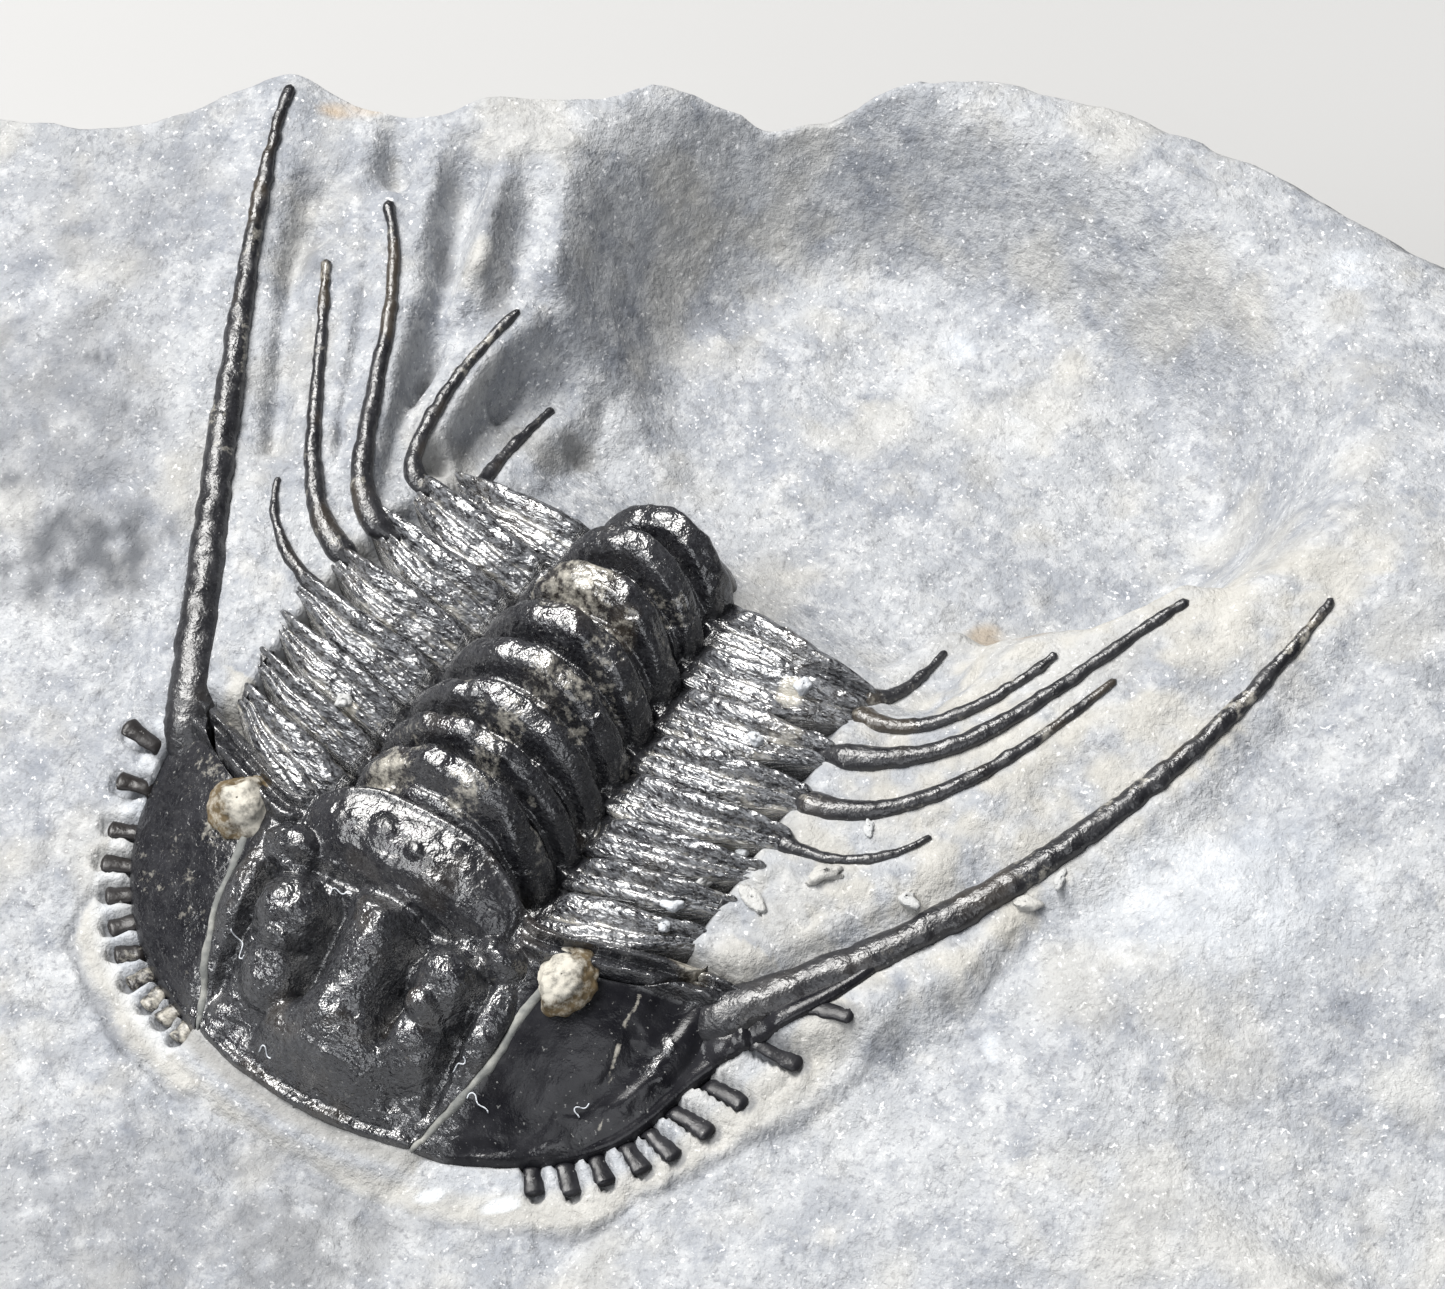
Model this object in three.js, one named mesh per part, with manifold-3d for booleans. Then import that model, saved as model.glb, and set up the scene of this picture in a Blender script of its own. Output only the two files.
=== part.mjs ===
// A leonaspis trilobite lying on the block of limestone that it was prepared from.
// Millimetres. X runs to the animal's left, Y to its tail, Z up. Z = 0 of the fossil is the height
// of the first thoracic segment's foot, and Y = 0 is where head and thorax meet.
import * as THREE from 'three';
import { mergeVertices } from 'three/addons/utils/BufferGeometryUtils.js';
import Module from 'manifold-3d';

const wasm = await Module();
wasm.setup();

// Driving sizes of the fossil
const HEAD_HALF_WIDTH = { left: 11.3, right: 11.0 }; // to each free cheek's margin, without spines
const HEAD_LENGTH = 10.7; // along the head's own tilted plane
const HEAD_TILT = THREE.MathUtils.degToRad(21.6); // the head is bent down this far
const HEAD_BASE_Z = -0.5; // the head plane's height at the joint with the thorax
const ROOT_DEPTH = 9; // how far a raw piece reaches into the rock before it is trimmed
const GAP = 0.16; // kept between a piece and the next, and between a piece and the rock
const SUTURE_WIDTH = 0.3;

// Driving sizes of the block
const BLOCK_WIDTH = 82;
const BLOCK_DEPTH = 70;
const BLOCK_CENTRE = [3, 3]; // of the block, in the fossil's X and Y
const BLOCK_BASE_Z = -18;

// Small helpers
const clamp = THREE.MathUtils.clamp;
const lerp = THREE.MathUtils.lerp;
const smoothstep = (from, to, value) => THREE.MathUtils.smoothstep(value, from, to);
const between = (low, high, soft, value) =>
  smoothstep(low - soft, low + soft, value) * (1 - smoothstep(high - soft, high + soft, value));
const bump = (value, centre, reach) => clamp(1 - ((value - centre) / reach) ** 2, 0, 1) ** 2;
const mound = (x, y, reachX, reachY) => clamp(1 - (x / reachX) ** 2 - (y / reachY) ** 2, 0, 1);

// A smooth value through a short list of [place, value] pairs, level past both ends
function through(pairs, place) {
  if (place <= pairs[0][0]) return pairs[0][1];
  const last = pairs.length - 1;
  if (place >= pairs[last][0]) return pairs[last][1];
  const i = pairs.findIndex((pair) => pair[0] > place) - 1;
  const slope = (a, b) => (pairs[b][1] - pairs[a][1]) / (pairs[b][0] - pairs[a][0]);
  const step = pairs[i + 1][0] - pairs[i][0];
  const t = (place - pairs[i][0]) / step;
  const inward = slope(Math.max(i - 1, 0), Math.min(i + 1, last)) * step;
  const outward = slope(Math.max(i, 0), Math.min(i + 2, last)) * step;
  const t2 = t * t;
  const t3 = t2 * t;
  return (2 * t3 - 3 * t2 + 1) * pairs[i][1] + (t3 - 2 * t2 + t) * inward
    + (3 * t2 - 2 * t3) * pairs[i + 1][1] + (t3 - t2) * outward;
}

// Turns a closed three.js geometry into a solid that can be joined and cut
function toSolid(geometry, matrix = new THREE.Matrix4()) {
  geometry.deleteAttribute('normal');
  geometry.deleteAttribute('uv');
  const merged = mergeVertices(geometry.applyMatrix4(matrix), 1e-4);
  return new wasm.Manifold(new wasm.Mesh({
    numProp: 3,
    vertProperties: new Float32Array(merged.attributes.position.array),
    triVerts: new Uint32Array(merged.index.array),
  }));
}

function toMesh(name, solid, material) {
  const { vertProperties, triVerts } = solid.getMesh();
  const geometry = new THREE.BufferGeometry();
  geometry.setAttribute('position', new THREE.BufferAttribute(vertProperties, 3));
  geometry.setIndex(new THREE.BufferAttribute(triVerts, 1));
  geometry.computeVertexNormals();
  const mesh = new THREE.Mesh(geometry, material);
  mesh.name = name;
  return mesh;
}

// A box of columns by rows whose upper and lower faces follow pointAt(u, v, onTop)
function sheet(columns, rows, pointAt) {
  const geometry = new THREE.BoxGeometry(1, 1, 1, columns, rows, 1);
  const position = geometry.attributes.position;
  for (let i = 0; i < position.count; i += 1) {
    const point = pointAt(position.getX(i) + 0.5, position.getY(i) + 0.5, position.getZ(i) > 0);
    position.setXYZ(i, ...point);
  }
  return geometry;
}

// A closed tapering rod along a curve, with radiusAt(0) at its root and radiusAt(1) at its tip
function horn(curve, radiusAt, sides, steps) {
  const geometry = new THREE.CylinderGeometry(1, 1, 1, sides, steps, false);
  const position = geometry.attributes.position;
  const frames = curve.computeFrenetFrames(steps);
  for (let i = 0; i < position.count; i += 1) {
    const t = position.getY(i) + 0.5;
    const step = Math.round(t * steps);
    const point = curve.getPointAt(t);
    point.addScaledVector(frames.normals[step], position.getX(i) * radiusAt(t));
    point.addScaledVector(frames.binormals[step], -position.getZ(i) * radiusAt(t));
    position.setXYZ(i, point.x, point.y, point.z);
  }
  return geometry;
}

// Spines: four control points each, on the animal's left (+X) and right (-X), then root and tip radius
const GENAL_SPINES = {
  left: [[9.95, -2.3, -1.0], [16.85, 3.8, 1.5], [20.9, 12.9, 3.5], [21.3, 21.3, 5.2]],
  right: [[-9.8, -2.6, -0.9], [-12.5, 2.1, 0.8], [-20.8, 16.9, 4.6], [-21.8, 21.0, 5.4]],
  radii: [0.76, 0.17],
  taper: 1.3,
};
const PLEURAL_SPINES = {
  1: {
    left: [[9.1, 0.6, 0.5], [9.6, 0.6, 0.6], [10.0, 0.8, 0.6], [10.3, 1.3, 0.6]],
    right: [[-9.1, 0.6, 0.5], [-9.6, 0.6, 0.6], [-10.0, 0.8, 0.6], [-10.3, 1.3, 0.6]],
    radii: [0.36, 0.18],
  },
  2: {
    left: [[9.3, 1.9, 0.9], [9.8, 1.9, 1.0], [10.3, 2.1, 1.0], [10.6, 2.6, 1.0]],
    right: [[-9.3, 1.9, 0.9], [-9.8, 1.9, 1.0], [-10.3, 2.1, 1.0], [-10.6, 2.6, 1.0]],
    radii: [0.36, 0.18],
  },
  3: {
    left: [[9.5, 3.4, 1.2], [10.0, 3.4, 1.4], [10.5, 3.6, 1.4], [10.9, 4.1, 1.4]],
    right: [[-9.5, 3.4, 1.2], [-10.0, 3.4, 1.4], [-10.5, 3.6, 1.4], [-10.9, 4.1, 1.4]],
    radii: [0.38, 0.18],
  },
  4: {
    left: [[9.6, 4.7, 1.5], [12.1, 4.6, 1.9], [13.3, 5.4, 2.0], [14.2, 7.2, 2.3]],
    right: [[-9.1, 5.0, 1.5], [-10.8, 4.9, 1.8], [-12.9, 6.6, 2.1], [-13.1, 7.9, 2.3]],
    radii: [0.3, 0.13],
  },
  5: {
    left: [[9.1, 6.5, 1.6], [13.3, 6.0, 2.2], [15.4, 11.5, 3.2], [16.5, 15.2, 3.9]],
    right: [[-8.7, 6.6, 1.6], [-11.9, 6.5, 2.2], [-13.2, 10.5, 2.7], [-16.7, 15.9, 3.9]],
    radii: [0.44, 0.16],
  },
  6: {
    left: [[9.0, 8.4, 1.8], [14.3, 9.4, 2.9], [14.3, 13.5, 3.3], [17.1, 18.9, 4.7]],
    right: [[-8.2, 8.2, 1.9], [-11.6, 7.4, 2.5], [-12.0, 15.0, 3.5], [-16.1, 18.9, 4.6]],
    radii: [0.46, 0.18],
  },
  7: {
    left: [[8.8, 10.8, 1.5], [11.85, 9.75, 2.1], [13.5, 13.5, 3.0], [14.1, 15.3, 3.5]],
    right: [[-8.3, 11.0, 1.6], [-10.4, 9.3, 1.9], [-10.7, 15.1, 2.6], [-9.9, 18.1, 3.4]],
    radii: [0.36, 0.16],
  },
  8: {
    left: [[8.4, 12.1, 0.6], [9.5, 12.2, 0.5], [9.65, 13.9, 0.45], [9.7, 15.4, 0.45]],
    right: [[-7.6, 12.2, 0.6], [-8.2, 12.9, 0.5], [-8.0, 15.6, 0.4], [-7.8, 17.0, 0.4]],
    radii: [0.32, 0.14],
  },
};
const SPINE_FACES = 5;
const SIDES = { left: 1, right: -1 };

function spineCurve(points) {
  return new THREE.CubicBezierCurve3(...points.map((point) => new THREE.Vector3(...point)));
}

// A spine swells by `extra` where it is used to keep other pieces clear of it
function spineSolid(spine, side, steps, extra = 0) {
  const { radii: [root, tip], taper = 0.8 } = spine;
  const radiusAt = (t) => lerp(root, tip, t ** taper) + extra;
  return toSolid(horn(spineCurve(spine[side]), radiusAt, SPINE_FACES, steps));
}

// Every spine that lies on the rock, sampled, so that the rock can rise to carry it
function spineSamples() {
  const samples = [];
  const add = (points, radii) => {
    for (const [i, point] of spineCurve(points).getSpacedPoints(24).entries()) {
      samples.push([point.x, point.y, point.z, lerp(radii[0], radii[1], i / 24)]);
    }
  };
  for (const side of Object.keys(SIDES)) {
    add(GENAL_SPINES[side], GENAL_SPINES.radii);
    for (const spine of Object.values(PLEURAL_SPINES)) add(spine[side], spine.radii);
  }
  return samples;
}
const SPINE_SAMPLES = spineSamples();

// The rock: heights along Y of its open face, and of the bed under the body
const OPEN_FACE = [[-32, -6.6], [-20, -5.6], [-12, -4.5], [-6, -2.5], [0, -0.4], [6, 1.4], [12, 3.0],
  [20, 4.9], [27, 5.4], [36, 4.6], [42, 3.8]];
const BED = [[-14, -5.6], [-11, -5.3], [-9.6, -4.75], [-5, -2.95], [0, -0.9], [3, 0.0], [6, 0.6],
  [10, 0.8], [13, 0.1], [16.5, -1.3]];
const BODY = { centreY: 3.6, halfWidth: 11.1, halfLength: 13.6 }; // superellipse round the body
const TRENCH = [1.2, 1.33]; // where the prepared trench climbs to the open face, in body sizes
const BASIN = { x: 4.0, y: 24.0, halfWidth: 16.5, halfLength: 11.5, floorZ: -1.5 };

// Prepared valleys between the spines of the animal's right side: two ends, half width, depth
const VALLEYS = [
  { from: [-13.4, 8.5], to: [-18.6, 18.0], reach: 1.5, depth: 1.3 },
  { from: [-11.9, 11.2], to: [-17.4, 21.5], reach: 1.0, depth: 1.4 },
  { from: [-11.4, 13.4], to: [-14.6, 22.0], reach: 1.3, depth: 1.8 },
  { from: [-9.0, 15.6], to: [-12.2, 22.5], reach: 1.3, depth: 1.3 },
];

function bodyReach(x, y) {
  const across = Math.abs(x / BODY.halfWidth) ** 3;
  const along = Math.abs((y - BODY.centreY) / BODY.halfLength) ** 3;
  return (across + along) ** (1 / 3);
}

function valleyDepth(x, y) {
  let depth = 0;
  for (const { from, to, reach, depth: deepest } of VALLEYS) {
    const [dx, dy] = [to[0] - from[0], to[1] - from[1]];
    const length = Math.hypot(dx, dy);
    const along = ((x - from[0]) * dx + (y - from[1]) * dy) / length;
    const across = ((x - from[0]) * dy - (y - from[1]) * dx) / length;
    depth += deepest * bump(across, 0, reach) * between(0, length, 1.5, along);
  }
  return depth;
}

// The rock rises or falls to meet the underside of the nearest spine
function carrySpines(x, y, z) {
  let nearest = Infinity;
  let seat = z;
  for (const [sx, sy, sz, radius] of SPINE_SAMPLES) {
    const distance = Math.hypot(x - sx, y - sy);
    if (distance < nearest) {
      nearest = distance;
      seat = sz - 0.75 * radius;
    }
  }
  return lerp(seat, z, smoothstep(0.7, 1.9, nearest));
}

function rockHeight(x, y) {
  const reach = bodyReach(x, y);
  const open = through(OPEN_FACE, y) - 0.09 * Math.max(Math.abs(x) - 23, 0);
  const climb = y < 0 ? smoothstep(TRENCH[0], TRENCH[1], reach) : smoothstep(1.0, 1.32, reach);
  let z = lerp(through(BED, y), open, climb);
  const bowl = Math.hypot((x - BASIN.x) / BASIN.halfWidth, (y - BASIN.y) / BASIN.halfLength);
  z = lerp(Math.min(z, BASIN.floorZ), z, smoothstep(0.6, 0.98, bowl));
  z -= valleyDepth(x, y);
  z += 0.35 * Math.sin(0.31 * x + 0.9) * Math.sin(0.27 * y + 0.4) * smoothstep(1.4, 2.2, reach);
  return reach > 0.97 ? carrySpines(x, y, z) : z;
}

// The block's outline: distance from its centre at angles counted from +X, before it is fitted
const OUTLINE = [[0, 41.0], [22, 41.0], [42, 39.5], [58, 37.0], [72, 36.6], [85, 35.3], [94, 33.8],
  [101, 32.0], [108, 30.0], [118, 28.9], [131, 28.2], [139, 29.2], [144, 31.9], [151, 32.2],
  [157, 34.2], [162, 38.0], [170, 40.8], [180, 41.0], [198, 40.0], [215, 38.5], [235, 36.5],
  [258, 34.5], [280, 35.5], [305, 38.0], [330, 40.5], [360, 41.0]];
const SIDE_LEVELS = [0.14, 0.5, 1]; // how far down the side each ring of points is

// Lines of the upper face's grid: wide apart under the body, close together along the spines
const BLOCK_X = [-38, -33, -28, -25, -23, -21.2, -19.6, -18, -16.4, -14.8, -13.2, -11.6, -4, 4,
  11.6, 13.2, 14.8, 16.4, 18, 19.6, 21.2, 23, 26, 30, 36, 44];
const BLOCK_Y = [-32, -26, -20, -16, -13.4, -12, -10.8, -9.4, -5, 0, 5, 9.5, 12.6, 14.4,
  16, 17.6, 19.2, 20.8, 22.4, 25, 29, 33, 38];

function outlineReach(angle) {
  const degrees = THREE.MathUtils.radToDeg(angle);
  return through(OUTLINE, (degrees + 360) % 360);
}

// A point of a square, u and v from -1 to 1, moved into the block's outline
function planPoint(u, v) {
  const line = (lines, s) => {
    const place = lines[Math.round((0.5 * s + 0.5) * (lines.length - 1))];
    return (2 * (place - lines[0])) / (lines[lines.length - 1] - lines[0]) - 1;
  };
  const [a, b] = [line(BLOCK_X, u), line(BLOCK_Y, v)];
  const [dx, dy] = [a * Math.sqrt(1 - 0.5 * b * b), b * Math.sqrt(1 - 0.5 * a * a)];
  const reach = outlineReach(Math.atan2(dy, dx));
  return [BLOCK_CENTRE[0] + reach * dx, BLOCK_CENTRE[1] + reach * dy, Math.hypot(dx, dy)];
}

function blockTop(u, v) {
  const [x, y, share] = planPoint(u, v);
  return [x, y, rockHeight(x, y) - 0.8 * smoothstep(0.93, 1, share) ** 2];
}

// The broken side: flat-ish hollows and swells between the rim and the base
function blockSide(u, v, level) {
  const [x, y, rimZ] = blockTop(u, v);
  const angle = Math.atan2(y - BLOCK_CENTRE[1], x - BLOCK_CENTRE[0]);
  const swell = 0.028 * Math.sin(3 * angle + 0.7) + 0.022 * Math.sin(7 * angle + 2.1 + 3 * level);
  const scale = 1 - 0.05 * level + Math.sin(Math.PI * Math.min(level, 0.999)) * (swell - 0.004);
  return [
    BLOCK_CENTRE[0] + (x - BLOCK_CENTRE[0]) * scale,
    BLOCK_CENTRE[1] + (y - BLOCK_CENTRE[1]) * scale,
    lerp(rimZ, BLOCK_BASE_Z, level),
  ];
}

// One geometry box: its upper face is the rock's face, its walls the side, its lower face the base
function blockGeometry() {
  const levels = SIDE_LEVELS.length;
  const [columns, rows] = [BLOCK_X.length - 1, BLOCK_Y.length - 1];
  const geometry = new THREE.BoxGeometry(2, 2, levels, columns, rows, levels);
  const position = geometry.attributes.position;
  for (let i = 0; i < position.count; i += 1) {
    const [u, v] = [position.getX(i), position.getY(i)];
    const down = Math.round(levels / 2 - position.getZ(i));
    const onRim = Math.max(Math.abs(u), Math.abs(v)) > 0.999;
    let point = blockTop(u, v);
    if (down > 0 && onRim) point = blockSide(u, v, SIDE_LEVELS[down - 1]);
    if (down === levels && !onRim) point = [BLOCK_CENTRE[0], BLOCK_CENTRE[1], BLOCK_BASE_Z];
    position.setXYZ(i, ...point);
  }
  return geometry;
}

// Stretches the block a little so that its plan fills exactly the stated width and depth
function fitBlock(geometry) {
  geometry.computeBoundingBox();
  const size = geometry.boundingBox.getSize(new THREE.Vector3());
  const middle = geometry.boundingBox.getCenter(new THREE.Vector3());
  return new THREE.Matrix4()
    .makeTranslation(BLOCK_CENTRE[0], BLOCK_CENTRE[1], 0)
    .multiply(new THREE.Matrix4().makeScale(BLOCK_WIDTH / size.x, BLOCK_DEPTH / size.y, 1))
    .multiply(new THREE.Matrix4().makeTranslation(-middle.x, -middle.y, 0));
}

// The head, in its own plane: x across, y back, height above the plane of its margin
const HEAD_CREST = [[-10.7, 0.25], [-9.8, 0.6], [-8, 1.4], [-6, 2.1], [-4, 2.5], [-2, 2.6], [0.5, 2.5]];
const BACK_EDGE = [[0, -0.13], [2, -0.25], [3.3, -0.75], [4.3, -1.4], [5.2, -1.55], [7, -1.0],
  [9, -0.35], [10.4, 0.05], [11.2, 0.2]];
const SUTURE = [[4.2, -10.9], [4.5, -9.8], [4.8, -8.9], [5.3, -7.6], [5.7, -6.2], [5.85, -4.6],
  [6.1, -3.3], [6.7, -2.2], [7.7, -1.9], [9.0, -1.3], [9.9, -0.5], [10.2, 0.6]];
const MARGIN_POWER = 3; // how square the head's outline is
const EYE = { x: 6.62, y: -2.75, height: 2.35, reach: [0.72, 0.95, 0.95] };
const HEAD_MATRIX = new THREE.Matrix4().makeTranslation(0, 0, HEAD_BASE_Z)
  .multiply(new THREE.Matrix4().makeRotationX(HEAD_TILT));

// The raised part's distance from the middle plane
function headHalfWidth(y, sign) {
  const along = clamp(-y / HEAD_LENGTH, 0, 1);
  const half = sign > 0 ? HEAD_HALF_WIDTH.left : HEAD_HALF_WIDTH.right;
  return half * Math.sqrt(Math.max(1 - along ** MARGIN_POWER, 0));
}

// The margin's distance; on the left a flat brim widens towards the genal spine
function marginHalfWidth(y, sign) {
  const brim = sign > 0 ? 0.4 * smoothstep(-9.5, -6.5, y) + 1.1 * smoothstep(-4.4, 0.2, y) : 0;
  return headHalfWidth(y, sign) + brim;
}

function glabellaHeight(x, y) {
  const side = Math.abs(x);
  const middleLobe = 1.0 * bump(x, 0, 2.1) * between(-9.4, -3.1, 0.5, y);
  const sideLobe = 0.85 * Math.sqrt(mound(side - 3.05, y + 5.7, 1.15, 2.3));
  const rearLobe = 0.6 * Math.sqrt(mound(side - 3.3, y + 3.0, 1.0, 0.9));
  const fixedCheek = 0.5 * bump(side, 5.0, 0.85) * between(-8.6, -2.6, 0.5, y);
  const ringRoof = 1.4 * Math.sqrt(Math.max(1 - (x / 4.3) ** 2, 0));
  const occipitalRing = ringRoof * between(-1.9, 1.5, 0.25, y);
  const furrows = 0.35 * bump(side, 1.85, 0.5) * between(-8.8, -3.0, 0.4, y)
    + 0.35 * bump(side, 4.25, 0.5) * between(-8.8, -2.4, 0.4, y)
    + 0.5 * bump(y, -2.5, 0.6) * (1 - smoothstep(3.6, 4.4, side));
  return middleLobe + sideLobe + rearLobe + fixedCheek + occipitalRing - furrows;
}

function headHeight(x, y) {
  const side = Math.abs(x);
  const share = side / Math.max(headHalfWidth(y, x), 0.01);
  const dome = through(HEAD_CREST, y) * (1 - Math.min(share, 1) ** 2.6);
  const border = 0.3 * bump(share, 0.965, 0.07) - 0.25 * bump(share, 0.86, 0.07);
  const frontRim = 0.3 * bump(y, -10.25, 0.5) * (1 - smoothstep(4.5, 5.2, side));
  const backBorder = 0.55 * bump(y - through(BACK_EDGE, side), -0.5, 0.7) * smoothstep(4.2, 4.9, side);
  return 0.28 + dome + border * smoothstep(4.6, 5.6, side) + frontRim + backBorder
    + glabellaHeight(x, y);
}

// Lines of the head's grid, closer together where lobes and furrows change quickly
const HEAD_X = [0, 1.0, 1.85, 2.5, 3.3, 4.25, 5.0, 5.8, 7.2, 8.8, 10.2, 11.4, 13.0];
const HEAD_Y = [-10.9, -10.25, -9.6, -8.6, -7.2, -5.7, -4.2, -3.1, -2.5, -1.9, -1.0];

function headSheet() {
  const xs = [...HEAD_X.slice(1).reverse().map((x) => -x), ...HEAD_X];
  const rows = HEAD_Y.length;
  return sheet(xs.length - 1, rows, (u, v, onTop) => {
    const x = xs[Math.round(u * (xs.length - 1))];
    const row = Math.round(v * rows);
    const back = through(BACK_EDGE, Math.abs(x));
    const y = row === rows ? back : Math.min(HEAD_Y[row], back - 0.22 * (rows - row));
    return [x, y, onTop ? headHeight(x, y) : -ROOT_DEPTH];
  });
}

// A tall prism over a closed outline in the head's plane
function headPrism(outline) {
  const shape = new THREE.Shape(outline.map(([x, y]) => new THREE.Vector2(x, y)));
  const geometry = new THREE.ExtrudeGeometry(shape, { depth: 30, bevelEnabled: false, steps: 1 });
  return toSolid(geometry.translate(0, 0, -15), HEAD_MATRIX);
}

// One side of the margin from the back to the middle of the front
function marginPoints(sign, steps) {
  const points = [];
  for (let i = 0; i <= steps; i += 1) {
    const y = -HEAD_LENGTH * Math.sin((i / steps) * 0.5 * Math.PI);
    points.push([sign * marginHalfWidth(y, sign), y]);
  }
  return points;
}

function headOutlinePrism() {
  const [left, right] = [marginPoints(1, 14), marginPoints(-1, 14)];
  const back = 4;
  const rest = right.slice(0, -1).reverse();
  return headPrism([[left[0][0], back], ...left, ...rest, [right[0][0], back]].reverse());
}

// Everything outward of one facial suture, and the thin slot along it
function sutureCutters(sign) {
  const line = SUTURE.map(([x, y]) => [sign * x, y]);
  const outside = [...line, [sign * 14, 0.6], [sign * 14, -12], [sign * 4.2, -12]];
  const curve = line.map(([x, y]) => new THREE.Vector2(x, y));
  const offset = (amount) => curve.map((point, i) => {
    const ahead = curve[Math.min(i + 1, curve.length - 1)];
    const behind = curve[Math.max(i - 1, 0)];
    const run = ahead.clone().sub(behind).normalize();
    return [point.x + run.y * amount, point.y - run.x * amount];
  });
  const slot = [...offset(0.5 * SUTURE_WIDTH), ...offset(-0.5 * SUTURE_WIDTH).reverse()];
  return { outside: headPrism(outside), slot: headPrism(slot) };
}

// The fringe: blunt denticles along each free cheek's margin, from x, y to x, y in the head's plane
const DENTICLES = {
  left: [[8.19, -8.53, 8.87, -9.29], [9.11, -7.88, 9.98, -8.69], [9.92, -7.17, 10.8, -7.83],
    [10.63, -6.32, 11.7, -6.88], [10.96, -5.56, 12.4, -5.96], [11.26, -4.55, 13.02, -4.69],
    [11.9, -3.19, 13.54, -3.28], [12.62, -1.44, 14.49, -1.26], [13.72, 0.21, 15.39, 0.7]],
  right: [[-11.11, -2.42, -12.57, -2.28], [-10.72, -3.68, -11.84, -3.98], [-10.22, -4.97, -11.32, -5.42],
    [-9.79, -6.08, -10.87, -6.57], [-9.24, -6.92, -10.09, -7.49], [-8.63, -7.65, -9.35, -8.43],
    [-7.97, -8.59, -8.63, -9.14], [-7.26, -9.1, -7.61, -9.8], [-6.54, -9.44, -6.6, -10.19],
    [-5.75, -9.74, -5.86, -10.36], [-5.02, -10.03, -5.04, -10.64]],
};
const DENTICLE_RADII = [0.26, 0.34];
const DENTICLE_RISE = 0.12; // of a denticle's middle over the head's plane
const DENTICLE_ROOT = 0.7; // how far a denticle reaches in under the margin

function denticle([fromX, fromY, toX, toY]) {
  const tip = new THREE.Vector3(toX, toY, DENTICLE_RISE);
  const foot = new THREE.Vector3(fromX, fromY, DENTICLE_RISE);
  const inward = foot.clone().sub(tip).normalize();
  const root = foot.addScaledVector(inward, DENTICLE_ROOT);
  const [thin, thick] = DENTICLE_RADII;
  const radiusAt = (t) => lerp(thin, thick, t ** 2);
  return toSolid(horn(new THREE.LineCurve3(root, tip), radiusAt, 4, 1), HEAD_MATRIX);
}

function eyeSolid(sign, extra = 0) {
  const [rx, ry, rz] = EYE.reach.map((r) => r + extra);
  const ball = new THREE.SphereGeometry(1, 8, 5).scale(rx, ry, rz);
  return toSolid(ball.translate(sign * EYE.x, EYE.y, EYE.height), HEAD_MATRIX);
}

// A thoracic segment: half width, foot height, top height and rear edge of its ring; then the
// outer end of its rear edge
const SEGMENTS = [
  { ring: [4.0, 0.0, 4.1], rear: [0.23, 0.0], tip: [9.7, 0.9, 0.55] },
  { ring: [4.05, 0.3, 4.2], rear: [1.6, 1.4], tip: [10.0, 2.25, 0.95] },
  { ring: [3.95, 0.8, 4.4], rear: [3.35, 2.9], tip: [10.2, 3.75, 1.3] },
  { ring: [3.75, 1.05, 4.7], rear: [5.2, 4.75], tip: [10.3, 5.2, 1.6] },
  { ring: [3.5, 1.15, 4.65], rear: [7.3, 6.6], tip: [9.9, 7.0, 1.65] },
  { ring: [3.3, 1.25, 4.6], rear: [9.4, 8.6], tip: [9.6, 9.0, 1.85] },
  { ring: [3.0, 1.5, 4.5], rear: [11.4, 10.4], tip: [9.3, 11.3, 1.6] },
  { ring: [2.75, 1.3, 3.6], rear: [13.4, 12.6], tip: [9.0, 12.4, 0.6] },
];
const RING_COLUMNS = 8;
const FLANK_COLUMNS = 3;
const SEGMENT_ROWS = [0, 0.2, 0.45, 0.78, 1]; // front to rear edge, through the pleural furrow
const TIP_TAPER = 0.45; // how much narrower a segment is at its outer ends
const ROW_RISE = { ring: [-0.85, -0.6, -0.35, -0.05, 0], flank: [-0.35, 0.1, -0.2, 0.16, -0.1] };

// Where the top of the head's back edge is, in the body's Y
function headBackY(x) {
  const back = through(BACK_EDGE, Math.abs(x));
  return back * Math.cos(HEAD_TILT) - headHeight(x, back) * Math.sin(HEAD_TILT);
}

// Distance from the middle plane, from -1 to 1 across the whole segment
function segmentX(segment, s) {
  const [ringHalf] = segment.ring;
  const flank = FLANK_COLUMNS / (FLANK_COLUMNS + 0.5 * RING_COLUMNS);
  const side = Math.abs(s);
  const angle = (side / (1 - flank)) * 0.5 * Math.PI;
  const x = side < 1 - flank
    ? ringHalf * Math.sin(angle)
    : lerp(ringHalf, segment.tip[0], (side - 1 + flank) / flank);
  return Math.sign(s) * x;
}

function rearEdge(segment, x) {
  const side = Math.abs(x);
  const [ringHalf] = segment.ring;
  if (side < ringHalf) return lerp(segment.rear[0], segment.rear[1], (side / ringHalf) ** 2);
  const outward = (side - ringHalf) / (segment.tip[0] - ringHalf);
  return lerp(segment.rear[1], segment.tip[1], outward ** 1.6);
}

function segmentHeight(segment, x, row) {
  const side = Math.abs(x);
  const [ringHalf, footZ, topZ] = segment.ring;
  if (side < ringHalf) {
    const arch = Math.max(1 - (side / ringHalf) ** 2.3, 0) ** 0.6;
    return lerp(footZ - 0.1, topZ + ROW_RISE.ring[row], arch);
  }
  const outward = (side - ringHalf) / (segment.tip[0] - ringHalf);
  const swell = 0.55 * Math.sin(Math.PI * Math.min(outward, 1)) ** 0.8;
  return lerp(footZ - 0.1, segment.tip[2], outward) + swell
    + ROW_RISE.flank[row] * smoothstep(0, 0.15, outward);
}

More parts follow.
